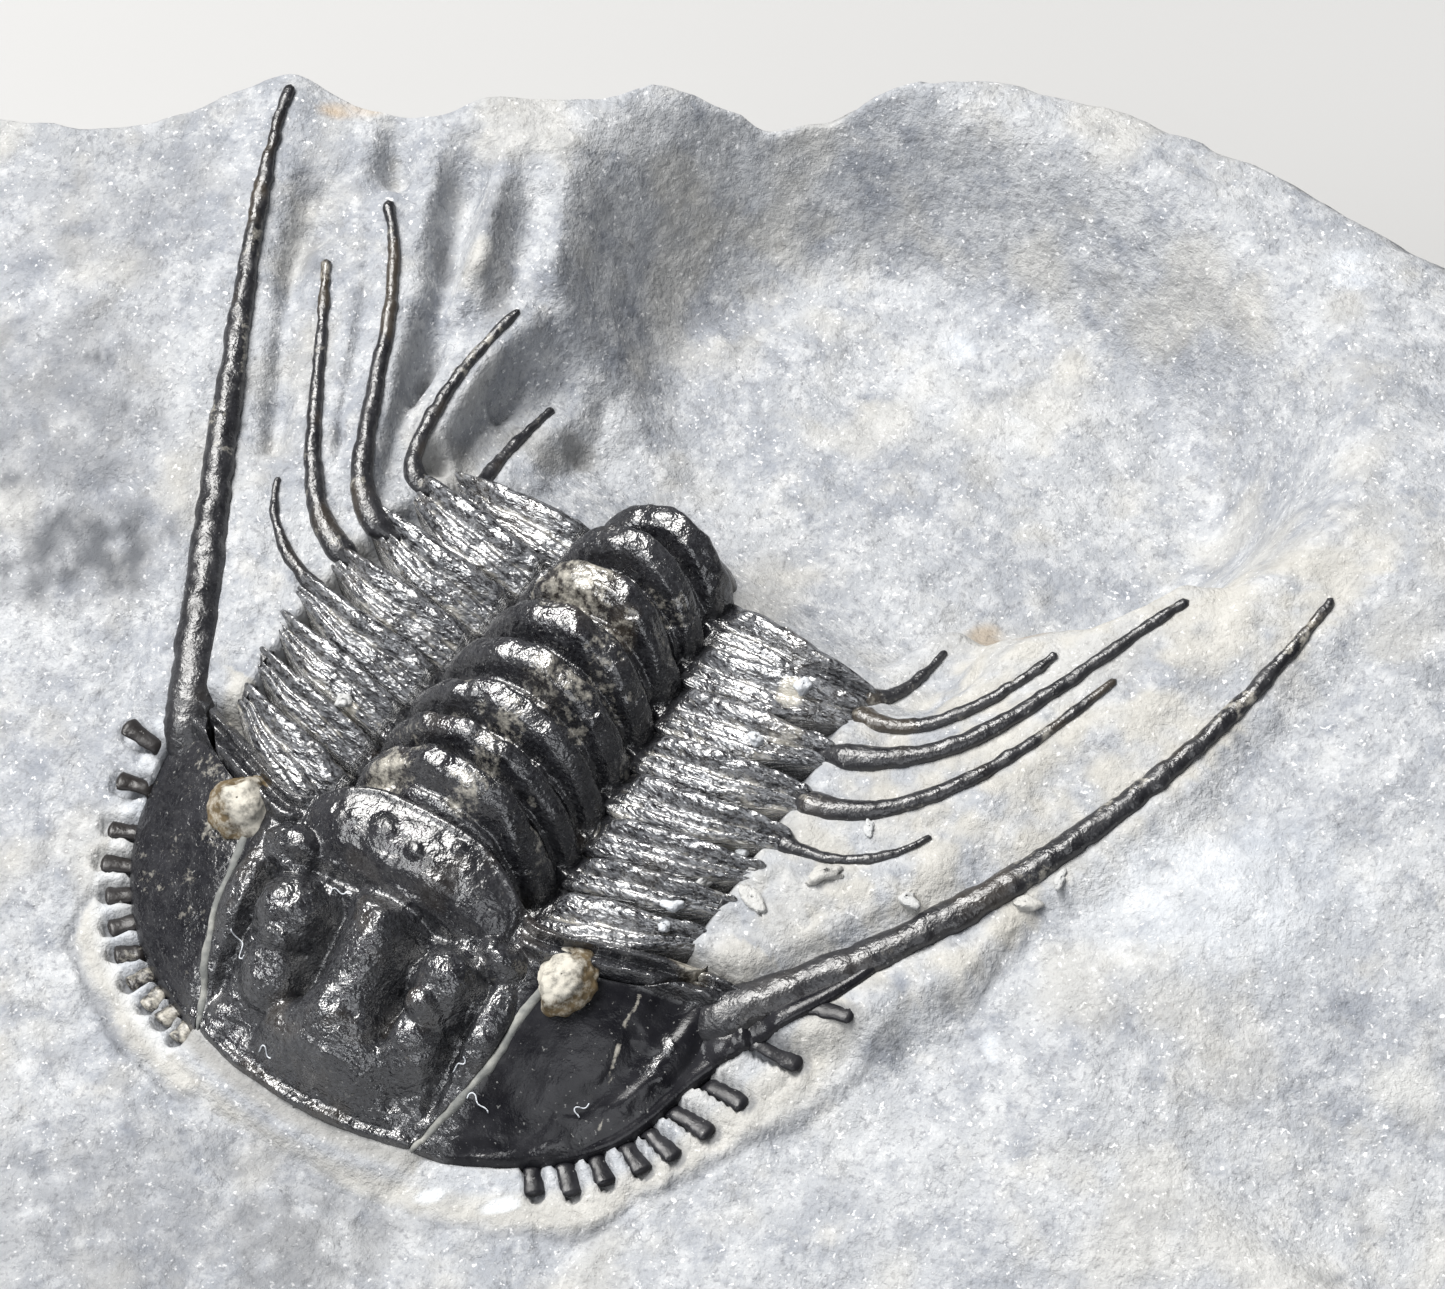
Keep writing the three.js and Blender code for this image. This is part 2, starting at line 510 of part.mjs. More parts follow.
function segmentBody(index) {
  const segment = SEGMENTS[index];
  const columns = RING_COLUMNS + 2 * FLANK_COLUMNS;
  const rows = SEGMENT_ROWS.length - 1;
  const frontOf = (x) => GAP + (index === 0 ? headBackY(x) : rearEdge(SEGMENTS[index - 1], x));
  const geometry = sheet(columns, rows, (u, v, onTop) => {
    const x = segmentX(segment, 2 * u - 1);
    const row = Math.round(v * rows);
    const rear = rearEdge(segment, x);
    const narrow = TIP_TAPER * smoothstep(0.8, 1, Math.abs(2 * u - 1));
    const front = lerp(frontOf(x), rear, narrow);
    const y = lerp(front, rear, SEGMENT_ROWS[row]);
    return [x, y, onTop ? segmentHeight(segment, x, row) : -ROOT_DEPTH];
  });
  return toSolid(geometry);
}

// The tail shield, short and low behind the last ring
const PYGIDIUM = { halfWidth: 3.2, length: 1.9, axisHalf: 1.7, axisTop: 1.9, footZ: 0.4, rearZ: -0.9 };

function pygidiumBody() {
  const last = SEGMENTS[SEGMENTS.length - 1];
  const geometry = sheet(14, 5, (u, v, onTop) => {
    const s = 2 * u - 1;
    const x = PYGIDIUM.halfWidth * s * (1 - 0.25 * v);
    const front = rearEdge(last, x) + GAP;
    const y = front + PYGIDIUM.length * v * Math.sqrt(Math.max(1 - 0.85 * s * s, 0));
    const plate = lerp(PYGIDIUM.footZ, PYGIDIUM.rearZ, v) - 0.5 * s * s;
    const axis = Math.sqrt(Math.max(1 - (x / PYGIDIUM.axisHalf) ** 2, 0)) * (1 - v ** 1.5);
    return [x, y, onTop ? plate + (PYGIDIUM.axisTop - PYGIDIUM.footZ) * axis : -ROOT_DEPTH];
  });
  return toSolid(geometry);
}

// Materials, from the photo
const limestone = new THREE.MeshStandardMaterial({ color: 0xb9babb, roughness: 0.9, metalness: 0 });
const shell = new THREE.MeshStandardMaterial({ color: 0x1d1e21, roughness: 0.35, metalness: 0 });

// Assembly
const rawBlock = blockGeometry();
const blockSolid = toSolid(rawBlock, fitBlock(rawBlock));
const raisedBlock = blockSolid.translate([0, 0, GAP]);
const fossil = [];
const spines = [];

for (const side of Object.keys(SIDES)) {
  spines.push({
    owner: `free_cheek_${side}`,
    solid: spineSolid(GENAL_SPINES, side, 9),
    clearance: spineSolid(GENAL_SPINES, side, 8, GAP),
  });
  for (const [number, spine] of Object.entries(PLEURAL_SPINES)) {
    const steps = number < 4 ? 2 : 6;
    spines.push({
      owner: `thoracic_segment_${number}`,
      solid: spineSolid(spine, side, steps),
      clearance: spineSolid(spine, side, 8, GAP),
    });
  }
}

const headBody = toSolid(headSheet(), HEAD_MATRIX).intersect(headOutlinePrism());
let cranidium = headBody;
for (const [side, sign] of Object.entries(SIDES)) {
  const { outside, slot } = sutureCutters(sign);
  let cheek = headBody.intersect(outside).subtract(slot).add(eyeSolid(sign));
  cranidium = cranidium.subtract(outside).subtract(slot).subtract(eyeSolid(sign, GAP));
  for (const line of DENTICLES[side]) cheek = cheek.add(denticle(line));
  fossil.push({ name: `free_cheek_${side}`, solid: cheek });
}
fossil.push({ name: 'cranidium', solid: cranidium });

const headClearance = headBody.add(headBody.translate([0, GAP, 0]));
for (let i = 0; i < SEGMENTS.length; i += 1) {
  let solid = segmentBody(i);
  if (i === 0) solid = solid.subtract(headClearance);
  fossil.push({ name: `thoracic_segment_${i + 1}`, solid });
}

fossil.push({ name: 'pygidium', solid: pygidiumBody() });

const trilobite = new THREE.Group();
trilobite.position.set(-BLOCK_CENTRE[0], -BLOCK_CENTRE[1], -BLOCK_BASE_Z);
trilobite.add(toMesh('matrix', blockSolid, limestone));
for (const piece of fossil) {
  let { solid } = piece;
  for (const spine of spines) {
    solid = spine.owner === piece.name ? solid.add(spine.solid) : solid.subtract(spine.clearance);
  }
  trilobite.add(toMesh(piece.name, solid.subtract(raisedBlock), shell));
}

export default trilobite;
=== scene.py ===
"""The looks of a leonaspis trilobite lying on its block of limestone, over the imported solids.

Shapes are worked out in millimetres in the fossil's own frame: X to the animal's left, Y to its
tail, Z up, with Y = 0 where head and thorax meet. The head has a plane of its own, bent down.
"""
from itertools import product

import bpy
import numpy as np
from mathutils import Matrix, Vector


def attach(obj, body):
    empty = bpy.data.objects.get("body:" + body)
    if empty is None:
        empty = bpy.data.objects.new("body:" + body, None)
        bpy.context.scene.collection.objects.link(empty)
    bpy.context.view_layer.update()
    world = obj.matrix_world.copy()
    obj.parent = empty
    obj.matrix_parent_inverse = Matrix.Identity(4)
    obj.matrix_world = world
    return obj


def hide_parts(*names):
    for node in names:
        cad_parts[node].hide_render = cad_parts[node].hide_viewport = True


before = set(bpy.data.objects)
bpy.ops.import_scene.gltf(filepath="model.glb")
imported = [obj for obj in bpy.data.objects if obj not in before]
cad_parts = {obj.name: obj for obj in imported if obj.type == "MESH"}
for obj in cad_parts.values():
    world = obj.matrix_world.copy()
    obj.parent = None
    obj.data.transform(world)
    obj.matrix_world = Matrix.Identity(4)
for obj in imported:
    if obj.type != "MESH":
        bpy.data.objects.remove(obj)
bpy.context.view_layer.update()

MM = 0.001
ORIGIN = np.array([-3.0, -3.0, 18.0])  # of the fossil's own frame, in the row frame

# The photograph's camera
VIEW_TURN = np.radians(33.3)
VIEW_RISE = np.radians(52.0)
VIEW_PLACE = np.array([82.078, -108.855, 184.589])
FOCAL_PIXELS, PHOTO_WIDTH = 6762.0, 1445

# Sizes of the head; of the two sides, 1 is the animal's left and -1 its right
HEAD_HALF_WIDTH = {1: 11.3, -1: 11.0}
HEAD_LENGTH = 10.7
HEAD_TILT = np.radians(21.6)
HEAD_BASE_Z = -0.5
MARGIN_POWER = 3.0
# The crest is Y and height; the back edge and the suture are X and Y
HEAD_CREST = [(-10.7, 0.25), (-9.8, 0.6), (-8, 1.4), (-6, 2.1), (-4, 2.5), (-2, 2.6), (0.5, 2.5)]
BACK_EDGE = [(0, -0.13), (2, -0.25), (3.3, -0.75), (4.3, -1.4), (5.2, -1.55), (7, -1.0), (9, -0.35),
             (10.4, 0.05), (11.2, 0.2)]
SUTURE = [(4.3, -10.3), (4.5, -9.8), (4.8, -8.9), (5.3, -7.6), (5.7, -6.2), (5.85, -4.6), (6.1, -3.3),
          (6.7, -2.2), (7.7, -1.9), (9.0, -1.3), (9.9, -0.5), (10.2, 0.05)]
EYE = np.array([6.62, -2.75, 2.45])
EYE_REACH = np.array([0.72, 0.95, 0.95])

# Ring half width, foot height, top height; rear edge at the middle and at the ring's foot; tip
SEGMENTS = [
    ((4.0, 0.0, 4.1), (0.23, 0.0), (9.7, 0.9, 0.55)),
    ((4.05, 0.3, 4.2), (1.6, 1.4), (10.0, 2.25, 0.95)),
    ((3.95, 0.8, 4.4), (3.35, 2.9), (10.2, 3.75, 1.3)),
    ((3.75, 1.05, 4.7), (5.2, 4.75), (10.3, 5.2, 1.6)),
    ((3.5, 1.15, 4.65), (7.3, 6.6), (9.9, 7.0, 1.65)),
    ((3.3, 1.25, 4.6), (9.4, 8.6), (9.6, 9.0, 1.85)),
    ((3.0, 1.5, 4.5), (11.4, 10.4), (9.3, 11.3, 1.6)),
    ((2.75, 1.3, 3.6), (13.4, 12.6), (9.0, 12.4, 0.6)),
]
TIP_TAPER = 0.45
TAIL_HALF_WIDTH, TAIL_LENGTH = 3.2, 1.9

# Spines: four control points each, keyed by side (+1 is the animal's left), then the radii
GENAL_SPINES = {
    1: [(9.95, -2.3, -1.0), (16.85, 3.8, 1.5), (20.9, 12.9, 3.5), (21.3, 21.3, 5.2)],
    -1: [(-9.8, -2.6, -0.9), (-12.5, 2.1, 0.8), (-20.8, 16.9, 4.6), (-21.8, 21.0, 5.4)],
}
GENAL_RADII, GENAL_TAPER = (0.76, 0.17), 1.3
BRIM_REACH = [(0, 1.6), (0.3, 1.4), (0.55, 1.25), (0.8, 0.9), (1, 0.4)]  # share of its length, reach


def both_sides(points):
    """The same points on the animal's left and, mirrored, on its right."""
    return {1: points, -1: [(-x, y, z) for x, y, z in points]}


PLEURAL_SPINES = [
    both_sides([(9.1, 0.6, 0.5), (9.6, 0.6, 0.6), (10.0, 0.8, 0.6), (10.3, 1.3, 0.6)]),
    both_sides([(9.3, 1.9, 0.9), (9.8, 1.9, 1.0), (10.3, 2.1, 1.0), (10.6, 2.6, 1.0)]),
    both_sides([(9.5, 3.4, 1.2), (10.0, 3.4, 1.4), (10.5, 3.6, 1.4), (10.9, 4.1, 1.4)]),
    {1: [(9.6, 4.7, 1.5), (12.1, 4.6, 1.9), (13.3, 5.4, 2.0), (14.2, 7.2, 2.3)],
     -1: [(-9.1, 5.0, 1.5), (-10.8, 4.9, 1.8), (-12.9, 6.6, 2.1), (-13.1, 7.9, 2.3)]},
    {1: [(9.1, 6.5, 1.6), (13.3, 6.0, 2.2), (15.4, 11.5, 3.2), (16.5, 15.2, 3.9)],
     -1: [(-8.7, 6.6, 1.6), (-11.9, 6.5, 2.2), (-13.2, 10.5, 2.7), (-16.7, 15.9, 3.9)]},
    {1: [(9.0, 8.4, 1.8), (14.3, 9.4, 2.9), (14.3, 13.5, 3.3), (17.1, 18.9, 4.7)],
     -1: [(-8.2, 8.2, 1.9), (-11.6, 7.4, 2.5), (-12.0, 15.0, 3.5), (-16.1, 18.9, 4.6)]},
    {1: [(8.8, 10.8, 1.5), (11.85, 9.75, 2.1), (13.5, 13.5, 3.0), (14.1, 15.3, 3.5)],
     -1: [(-8.3, 11.0, 1.6), (-10.4, 9.3, 1.9), (-10.7, 15.1, 2.6), (-9.9, 18.1, 3.4)]},
    {1: [(8.4, 12.1, 0.6), (9.5, 12.2, 0.5), (9.65, 13.9, 0.45), (9.7, 15.4, 0.45)],
     -1: [(-7.6, 12.2, 0.6), (-8.2, 12.9, 0.5), (-8.0, 15.6, 0.4), (-7.8, 17.0, 0.4)]},
]
PLEURAL_RADII = [(0.36, 0.18), (0.36, 0.18), (0.38, 0.18), (0.3, 0.13), (0.44, 0.16), (0.46, 0.18),
                 (0.36, 0.16), (0.32, 0.14)]
PLEURAL_TAPER, SHORT_SPINES = 0.8, 3

# The fringe: each denticle's root and tip, x and y in the head's plane
DENTICLES = {
    1: [(8.19, -8.53, 8.87, -9.29), (9.11, -7.88, 9.98, -8.69), (9.92, -7.17, 10.8, -7.83),
        (10.63, -6.32, 11.7, -6.88), (10.96, -5.56, 12.4, -5.96), (11.26, -4.55, 13.02, -4.69),
        (11.9, -3.19, 13.54, -3.28), (12.62, -1.44, 14.49, -1.26), (13.72, 0.21, 15.39, 0.7)],
    -1: [(-11.11, -2.42, -12.57, -2.28), (-10.72, -3.68, -11.84, -3.98), (-10.22, -4.97, -11.32, -5.42),
         (-9.79, -6.08, -10.87, -6.57), (-9.24, -6.92, -10.09, -7.49), (-8.63, -7.65, -9.35, -8.43),
         (-7.97, -8.59, -8.63, -9.14), (-7.26, -9.1, -7.61, -9.8), (-6.54, -9.44, -6.6, -10.19),
         (-5.75, -9.74, -5.86, -10.36), (-5.02, -10.03, -5.04, -10.64)],
}

# The block
BLOCK_CENTRE = np.array([3.0, 3.0])
BLOCK_BASE_Z = -18.0
# Y and height, on the open face and on the bed under the body
OPEN_FACE = [(-32, -6.6), (-20, -5.6), (-12, -4.5), (-6, -2.5), (0, -0.4), (6, 1.4), (12, 3.0),
             (20, 4.9), (27, 5.4), (36, 4.6), (42, 3.8)]
BED = [(-14, -5.6), (-11, -5.3), (-9.6, -4.75), (-5, -2.95), (0, -0.9), (3, 0.0), (6, 0.6),
       (10, 0.8), (13, 0.1), (16.5, -1.3)]
BODY_CENTRE_Y, BODY_HALF_WIDTH, BODY_HALF_LENGTH = 3.6, 11.1, 13.6
BASIN_CENTRE, BASIN_HALF, BASIN_FLOOR_Z = (4.0, 24.0), (16.5, 11.5), -1.5
LEDGE = [  # the low broken edge that runs round the head and along the left genal spine
    (-10.6, -7.4), (-10.3, -8.9), (-8.6, -9.9), (-6.2, -11.0), (-4.4, -11.4), (-2.2, -11.3), (0.9, -11.5),
    (4.1, -11.4), (6.3, -11.0), (8.2, -10.6), (9.9, -9.6), (11.2, -8.7), (11.9, -7.4), (12.6, -6.4),
    (13.5, -5.0), (14.2, -4.1), (15.5, -2.3), (16.3, -0.6), (16.8, 1.7), (17.6, 3.2), (18.3, 4.2),
    (18.8, 6.1), (18.7, 7.6), (19.2, 9.1), (19.9, 10.3), (20.7, 12.4), (21.0, 14.9), (21.2, 16.9),
    (21.6, 18.9),
]
VALLEYS = [  # two ends, half width, depth
    ((-13.4, 8.5), (-18.6, 18.0), 1.5, 1.3),
    ((-11.9, 11.2), (-17.4, 21.5), 1.0, 1.4),
    ((-11.4, 13.4), (-14.6, 22.0), 1.3, 1.8),
    ((-9.0, 15.6), (-12.2, 22.5), 1.3, 1.3),
]
# Degrees round the block's centre, and how far its edge is there
OUTLINE = [(0, 41.0), (22, 41.0), (42, 39.5), (58, 37.0), (72, 36.6), (85, 35.3), (94, 33.8),
           (101, 32.0), (108, 30.0), (118, 28.9), (131, 28.2), (139, 29.2), (144, 31.9), (151, 32.2),
           (157, 34.2), (162, 38.0), (170, 40.8), (180, 41.0), (198, 40.0), (215, 38.5),
           (235, 36.5), (258, 34.5), (280, 35.5), (305, 38.0), (330, 40.5), (360, 41.0)]


# Small helpers
def smooth(low, high, value):
    t = np.clip((value - low) / (high - low), 0, 1)
    return t * t * (3 - 2 * t)


def fade(low, high, value):
    """Falls from 1 to 0 while the value goes from low to high."""
    return 1 - smooth(low, high, value)


def mix(a, b, share):
    return a + (b - a) * share


def highest(*channels):
    return np.maximum.reduce(channels)


def bump(value, centre, reach):
    return np.clip(1 - ((value - centre) / reach) ** 2, 0, 1) ** 2


def between(low, high, soft, value):
    return smooth(low - soft, low + soft, value) * fade(high - soft, high + soft, value)


def steps(count):
    return np.linspace(0, 1, count)


def flat(x, y):
    return np.stack([x, y, np.zeros_like(x)], -1)


def rays(angle):
    return np.stack([np.cos(angle), np.sin(angle)], -1)


def oval(x, y, centre, reach, power):
    """A lump: 1 at its centre, 0 at its rim. Power 0.5 is a dome, 2 a soft swelling."""
    away = ((x - centre[0]) / reach[0]) ** 2 + ((y - centre[1]) / reach[1]) ** 2
    return np.clip(1 - away, 0, 1) ** power


def swellings(x, y, table, power):
    """The lumps of a table added together; each row gives centre, reach and height."""
    return sum(height * oval(x, y, centre, reach, power) for centre, reach, height in table)


def through(pairs, place):
    """A smooth value through a short list of (place, value) pairs, level past both ends."""
    xs, ys = np.array(pairs, float).T
    slopes = np.gradient(ys, xs)
    slopes[1:-1] = (ys[2:] - ys[:-2]) / (xs[2:] - xs[:-2])
    place = np.clip(place, xs[0], xs[-1])
    i = np.clip(np.searchsorted(xs, place, side="right") - 1, 0, len(xs) - 2)
    step = xs[i + 1] - xs[i]
    t = (place - xs[i]) / step
    rise = (3 - 2 * t) * t * t
    return (mix(ys[i], ys[i + 1], rise) + step * t * (1 - t) ** 2 * slopes[i]
            - step * t * t * (1 - t) * slopes[i + 1])


# Noise
OCTAVES = 3


def hashed(cell, seed):
    """A repeatable number from 0 to 1 for each whole-number place."""
    h = (cell[..., 0] * 374761393 + cell[..., 1] * 668265263 + cell[..., 2] * 1440662683
         + seed * 974634777) & 0xFFFFFFFF
    h = ((h ^ (h >> 13)) * 1274126177) & 0xFFFFFFFF
    return ((h ^ (h >> 16)) & 0xFFFFFF) / 0xFFFFFF


def noise(points, size, seed):
    """Smooth noise from -1 to 1 with lumps of about `size` millimetres."""
    spot = points / size
    cell = np.floor(spot).astype(np.int64)
    part = spot - cell
    part = part * part * (3 - 2 * part)
    total = 0
    for corner in product((0, 1), repeat=3):
        weight = 1.0
        for axis, far in enumerate(corner):
            weight = weight * (part[..., axis] if far else 1 - part[..., axis])
        total = total + weight * hashed(cell + np.array(corner), seed)
    return 2 * total - 1


def rough(points, size, seed):
    """Noise of several sizes, each half the last in size and height."""
    return sum(noise(points, size / 2 ** k, seed + k) / 2 ** k for k in range(OCTAVES))


def grains(points, size, seed):
    """Rounded grains packed side by side: 1 on a grain's top, 0 between grains; and its own number."""
    spot = points / size
    cell = np.floor(spot).astype(np.int64)
    nearest = np.full(spot.shape[:-1], 9.0)
    own = np.zeros(spot.shape[:-1])
    for step in product((-1, 0, 1), repeat=3):
        there = cell + np.array(step)
        centre = there + np.stack([hashed(there, seed + k) for k in range(3)], -1)
        away = np.linalg.norm(spot - centre, axis=-1)
        closer = away < nearest
        own = np.where(closer, hashed(there, seed + 3), own)
        nearest = np.where(closer, away, nearest)
    return np.clip(1 - nearest * nearest * 1.6, 0, 1), own


# Curves
FINE_COUNT = 500


def bezier(points, count):
    a, b, c, d = (np.array(p, float) for p in points)
    t = steps(count)[:, None]
    return a * (1 - t) ** 3 + 3 * b * t * (1 - t) ** 2 + 3 * c * t * t * (1 - t) + d * t ** 3


def run_along(line):
    """The distance along a line at each of its points."""
    return np.r_[0, np.cumsum(np.linalg.norm(np.diff(line, axis=0), axis=1))]


def evenly(line, count):
    """The same line with `count` points at even distances."""
    run = run_along(line)
    at = np.linspace(0, run[-1], count)
    return np.stack([np.interp(at, run, line[:, k]) for k in range(line.shape[1])], -1)


def smooth_line(points, count):
    """A smooth line through a few points, with `count` points at even distances."""
    points = np.array(points, float)
    run = run_along(points)
    at = np.linspace(0, run[-1], FINE_COUNT)
    fine = [through(list(zip(run, points[:, k])), at) for k in range(points.shape[1])]
    return evenly(np.stack(fine, -1), count)


def unit(vectors):
    """The same directions, each with a length of 1."""
    return vectors / np.linalg.norm(vectors, axis=1)[:, None]


def shifted(line, amount):
    """A line in plan, moved sideways to its right."""
    run = unit(np.gradient(line, axis=0))
    return line + amount * np.stack([run[:, 1], -run[:, 0]], -1)


# The head's outline
def head_half_width(y, side):
    along = np.clip(-y / HEAD_LENGTH, 0, 1)
    half = np.where(side > 0, HEAD_HALF_WIDTH[1], HEAD_HALF_WIDTH[-1])
    return half * np.sqrt(np.maximum(1 - along ** MARGIN_POWER, 0))


def margin_half_width(y, side):
    """The margin's distance from the middle; on the left a flat brim widens towards the spine."""
    brim = 0.4 * smooth(-9.5, -6.5, y) + 1.1 * smooth(-4.4, 0.2, y)
    return head_half_width(y, side) + np.where(side > 0, brim, 0)


def front_y(x):
    """Where the head's front edge is."""
    along = np.maximum(1 - (x / HEAD_HALF_WIDTH[1]) ** 2, 0) ** (1 / MARGIN_POWER)
    return -HEAD_LENGTH * along


def head_point(x, y, h):
    """A place in the head's own tilted plane, in the fossil's frame."""
    cosine, sine = np.cos(HEAD_TILT), np.sin(HEAD_TILT)
    return np.stack([x, y * cosine - h * sine, HEAD_BASE_Z + y * sine + h * cosine], -1)


def head_plane_z(y):
    """The height of the head's plane under a place in plan."""
    return HEAD_BASE_Z + y * np.tan(HEAD_TILT)


def inside_margin(x, y):
    """How far a place in plan lies inside the head's margin, across the animal."""
    return margin_half_width(y / np.cos(HEAD_TILT), x) - np.abs(x)


def margin_spots(side):
    """Points along one side's margin, from the front of the head to its back."""
    y = -HEAD_LENGTH * np.sin(np.linspace(1, 0, 160) * np.pi / 2)
    return head_point(side * margin_half_width(y, side), y, 0 * y)


def denticle_spots(root_and_tip):
    """Points along a denticle's middle line, from behind its root to its tip."""
    root, tip = np.array(root_and_tip[:2]), np.array(root_and_tip[2:])
    plan = mix(root, tip, np.linspace(-0.4, 1, 14)[:, None])
    return head_point(*plan.T, np.zeros(14))


MARGIN = np.concatenate([margin_spots(side) for side in (1, -1)])
DENTICLE_SPOTS = np.concatenate([denticle_spots(ends) for side in (1, -1) for ends in DENTICLES[side]])


# The rock's height
def spine_seats():
    """Points along every spine that lies on the rock: x, y and the rock's height there."""
    seats = []
    for side in (1, -1):
        seats.append(evenly(bezier(GENAL_SPINES[side], 80), 60) - (0, 0, 0.1))
        for number, spine in enumerate(PLEURAL_SPINES):
            lift = 0.3 if number < SHORT_SPINES else -0.07
            seats.append(evenly(bezier(spine[side], 80), 60) + (0, 0, lift))
        tips = np.array([(side * (x + 0.25), y - 0.4, z + 0.15) for _, _, (x, y, z) in SEGMENTS])
        seats.append(evenly(tips, 60))
    return np.concatenate(seats)


SEATS = spine_seats()
LEDGE_LINE = evenly(np.array(LEDGE, float), 240)
BATCH = 4000


def batches(x, y, points):
    """Places in plan, a batch at a time: its slice, and its places as seen from each of the points."""
    spots = np.stack([x.ravel(), y.ravel()], -1)
    for start in range(0, len(spots), BATCH):
        part = slice(start, start + BATCH)
        yield part, spots[part, None] - points[None, :, :2]


def nearest_of(x, y, points):
    """For each place in plan, the distance to the nearest of the points, and which one it is."""
    distance, which = np.empty(x.size), np.empty(x.size, int)
    for part, apart in batches(x, y, points):
        gap = np.linalg.norm(apart, axis=-1)
        which[part] = gap.argmin(1)
        distance[part] = gap.min(1)
    return distance.reshape(x.shape), which.reshape(x.shape)


def seat_height(x, y):
    """The height of the spines' seats, blended between them by nearness."""
    height = np.empty(x.size)
    for part, apart in batches(x, y, SEATS):
        weight = (apart[..., 0] ** 2 + apart[..., 1] ** 2 + 0.01) ** -2
        height[part] = weight @ SEATS[:, 2] / weight.sum(1)
    return height.reshape(x.shape)


def body_reach(x, y):
    """1 on the squarish oval that bounds the body, less inside it and more outside."""
    across = np.abs(x / BODY_HALF_WIDTH) ** 3
    along = np.abs((y - BODY_CENTRE_Y) / BODY_HALF_LENGTH) ** 3
    return (across + along) ** (1 / 3)


def valley_depth(x, y):
    depth = 0
    for start, end, reach, deepest in VALLEYS:
        dx, dy = end[0] - start[0], end[1] - start[1]
        length = np.hypot(dx, dy)
        along = ((x - start[0]) * dx + (y - start[1]) * dy) / length
        across = ((x - start[0]) * dy - (y - start[1]) * dx) / length
        depth = depth + deepest * bump(across, 0, reach) * between(0, length, 1.5, along)
    return depth


def open_rock(x, y, reach):
    """The bed under the body, the open face round it, the hollow behind the tail and the valleys."""
    ragged = reach + 0.03 * rough(flat(x, y), 2.6, 11)
    outer = through(OPEN_FACE, y) - 0.09 * np.maximum(np.abs(x) - 23, 0)
    z = mix(through(BED, y), outer, smooth(1.0, 1.32, ragged))
    bowl = np.hypot((x - BASIN_CENTRE[0]) / BASIN_HALF[0], (y - BASIN_CENTRE[1]) / BASIN_HALF[1])
    z = mix(np.minimum(z, BASIN_FLOOR_Z), z, smooth(0.6, 0.98, bowl))
    swell = 0.35 * np.sin(0.31 * x + 0.9) * np.sin(0.27 * y + 0.4) * smooth(1.4, 2.2, reach)
    return z - valley_depth(x, y) + swell


def with_fringe_shelf(x, y, z):
    """Round the head the rock stands level with the margin, and between the denticles as fingers."""
    side, plane = np.abs(x), head_plane_z(y)
    gap, _ = nearest_of(x, y, MARGIN)
    gap = np.where(inside_margin(x, y) > 0, 0, gap)
    outer = np.minimum(through(OPEN_FACE, y) - 0.1, plane + 0.55)
    shelf = mix(plane + 0.32, outer, smooth(1.5, 2.6, gap))
    groove = 0.25 * fade(0.05, 0.3, gap) * smooth(4.4, 5.2, side)
    shelf = shelf - groove + 0.04 * rough(flat(x, y), 0.7, 13)
    before_head = fade(4.2, 5.0, side) * fade(-6, -4, y)
    shelf = mix(shelf, plane + 0.62 - 0.3 * smooth(0.8, 1.5, gap), before_head)
    peg, _ = nearest_of(x, y, DENTICLE_SPOTS)
    shelf = shelf - 0.4 * fade(0.26, 0.4, peg)
    return mix(z, np.maximum(z, shelf), fade(-0.5, 2.5, y))


def ledge_gap(x, y):
    """Distance outward from the ledge's line, below zero inside it, and the share of its length."""
    distance, which = nearest_of(x, y, LEDGE_LINE)
    run = np.gradient(LEDGE_LINE, axis=0)[which]
    dx, dy = x - LEDGE_LINE[which, 0], y - LEDGE_LINE[which, 1]
    gap = distance * np.sign(dx * run[..., 1] - dy * run[..., 0])
    return gap + 0.22 * rough(flat(x, y), 1.1, 16), which / len(LEDGE_LINE)


def with_ledge(x, y, z):
    """A crack runs along the ledge, and on the animal's left the rock steps down outside it."""
    gap, along = ledge_gap(x, y)
    step = 0.3 * smooth(0.3, 0.5, along) * smooth(-0.1, 0.3, gap) * fade(1.5, 4, gap)
    return z - 0.2 * bump(gap, 0, 0.3) - step


def with_banks(x, y, z, reach):
    """The rock rises or falls to carry the spines, and fills the gaps between them."""
    side = np.abs(x)
    gap, _ = nearest_of(x, y, SEATS)
    gap = gap * (1 + 0.2 * rough(flat(x, y), 1.3, 15))
    filled = smooth(8.5, 10, side) * between(-0.5, 9, 1.5, y) * (side < 18)
    gap = gap / (1 + mix(0.4, 1.2, x > 0) * filled)
    carried = mix(seat_height(x, y), z, smooth(0.45, 1.9, gap))
    return mix(z, carried, smooth(0.79, 0.86, reach))


def under_head(x, y, z):
    """Keeps the rock below the head's thin brim."""
    under = smooth(0.0, 0.25, inside_margin(x, y)) * fade(-0.3, 0.2, y)
    return mix(z, np.minimum(z, head_plane_z(y) - 0.2), under)


def rock_height(x, y):
    """The height of the rock's upper face, without its unevenness."""
    reach = body_reach(x, y)
    z = with_fringe_shelf(x, y, open_rock(x, y, reach))
    z = with_banks(x, y, with_ledge(x, y, z), reach)
    return under_head(x, y, z)


# Mesh pieces
WALL_DEPTH = 0.7


def outward(points, faces):
    """The same faces, turned round if they enclose their points inside out."""
    corners = [face[:3] for face in faces] + [[f[0], f[2], f[3]] for f in faces if len(f) == 4]
    a, b, c = (points[[corner[k] for corner in corners]] for k in range(3))
    volume = np.einsum("ij,ij->", a, np.cross(b, c))
    return faces if volume > 0 else [face[::-1] for face in faces]


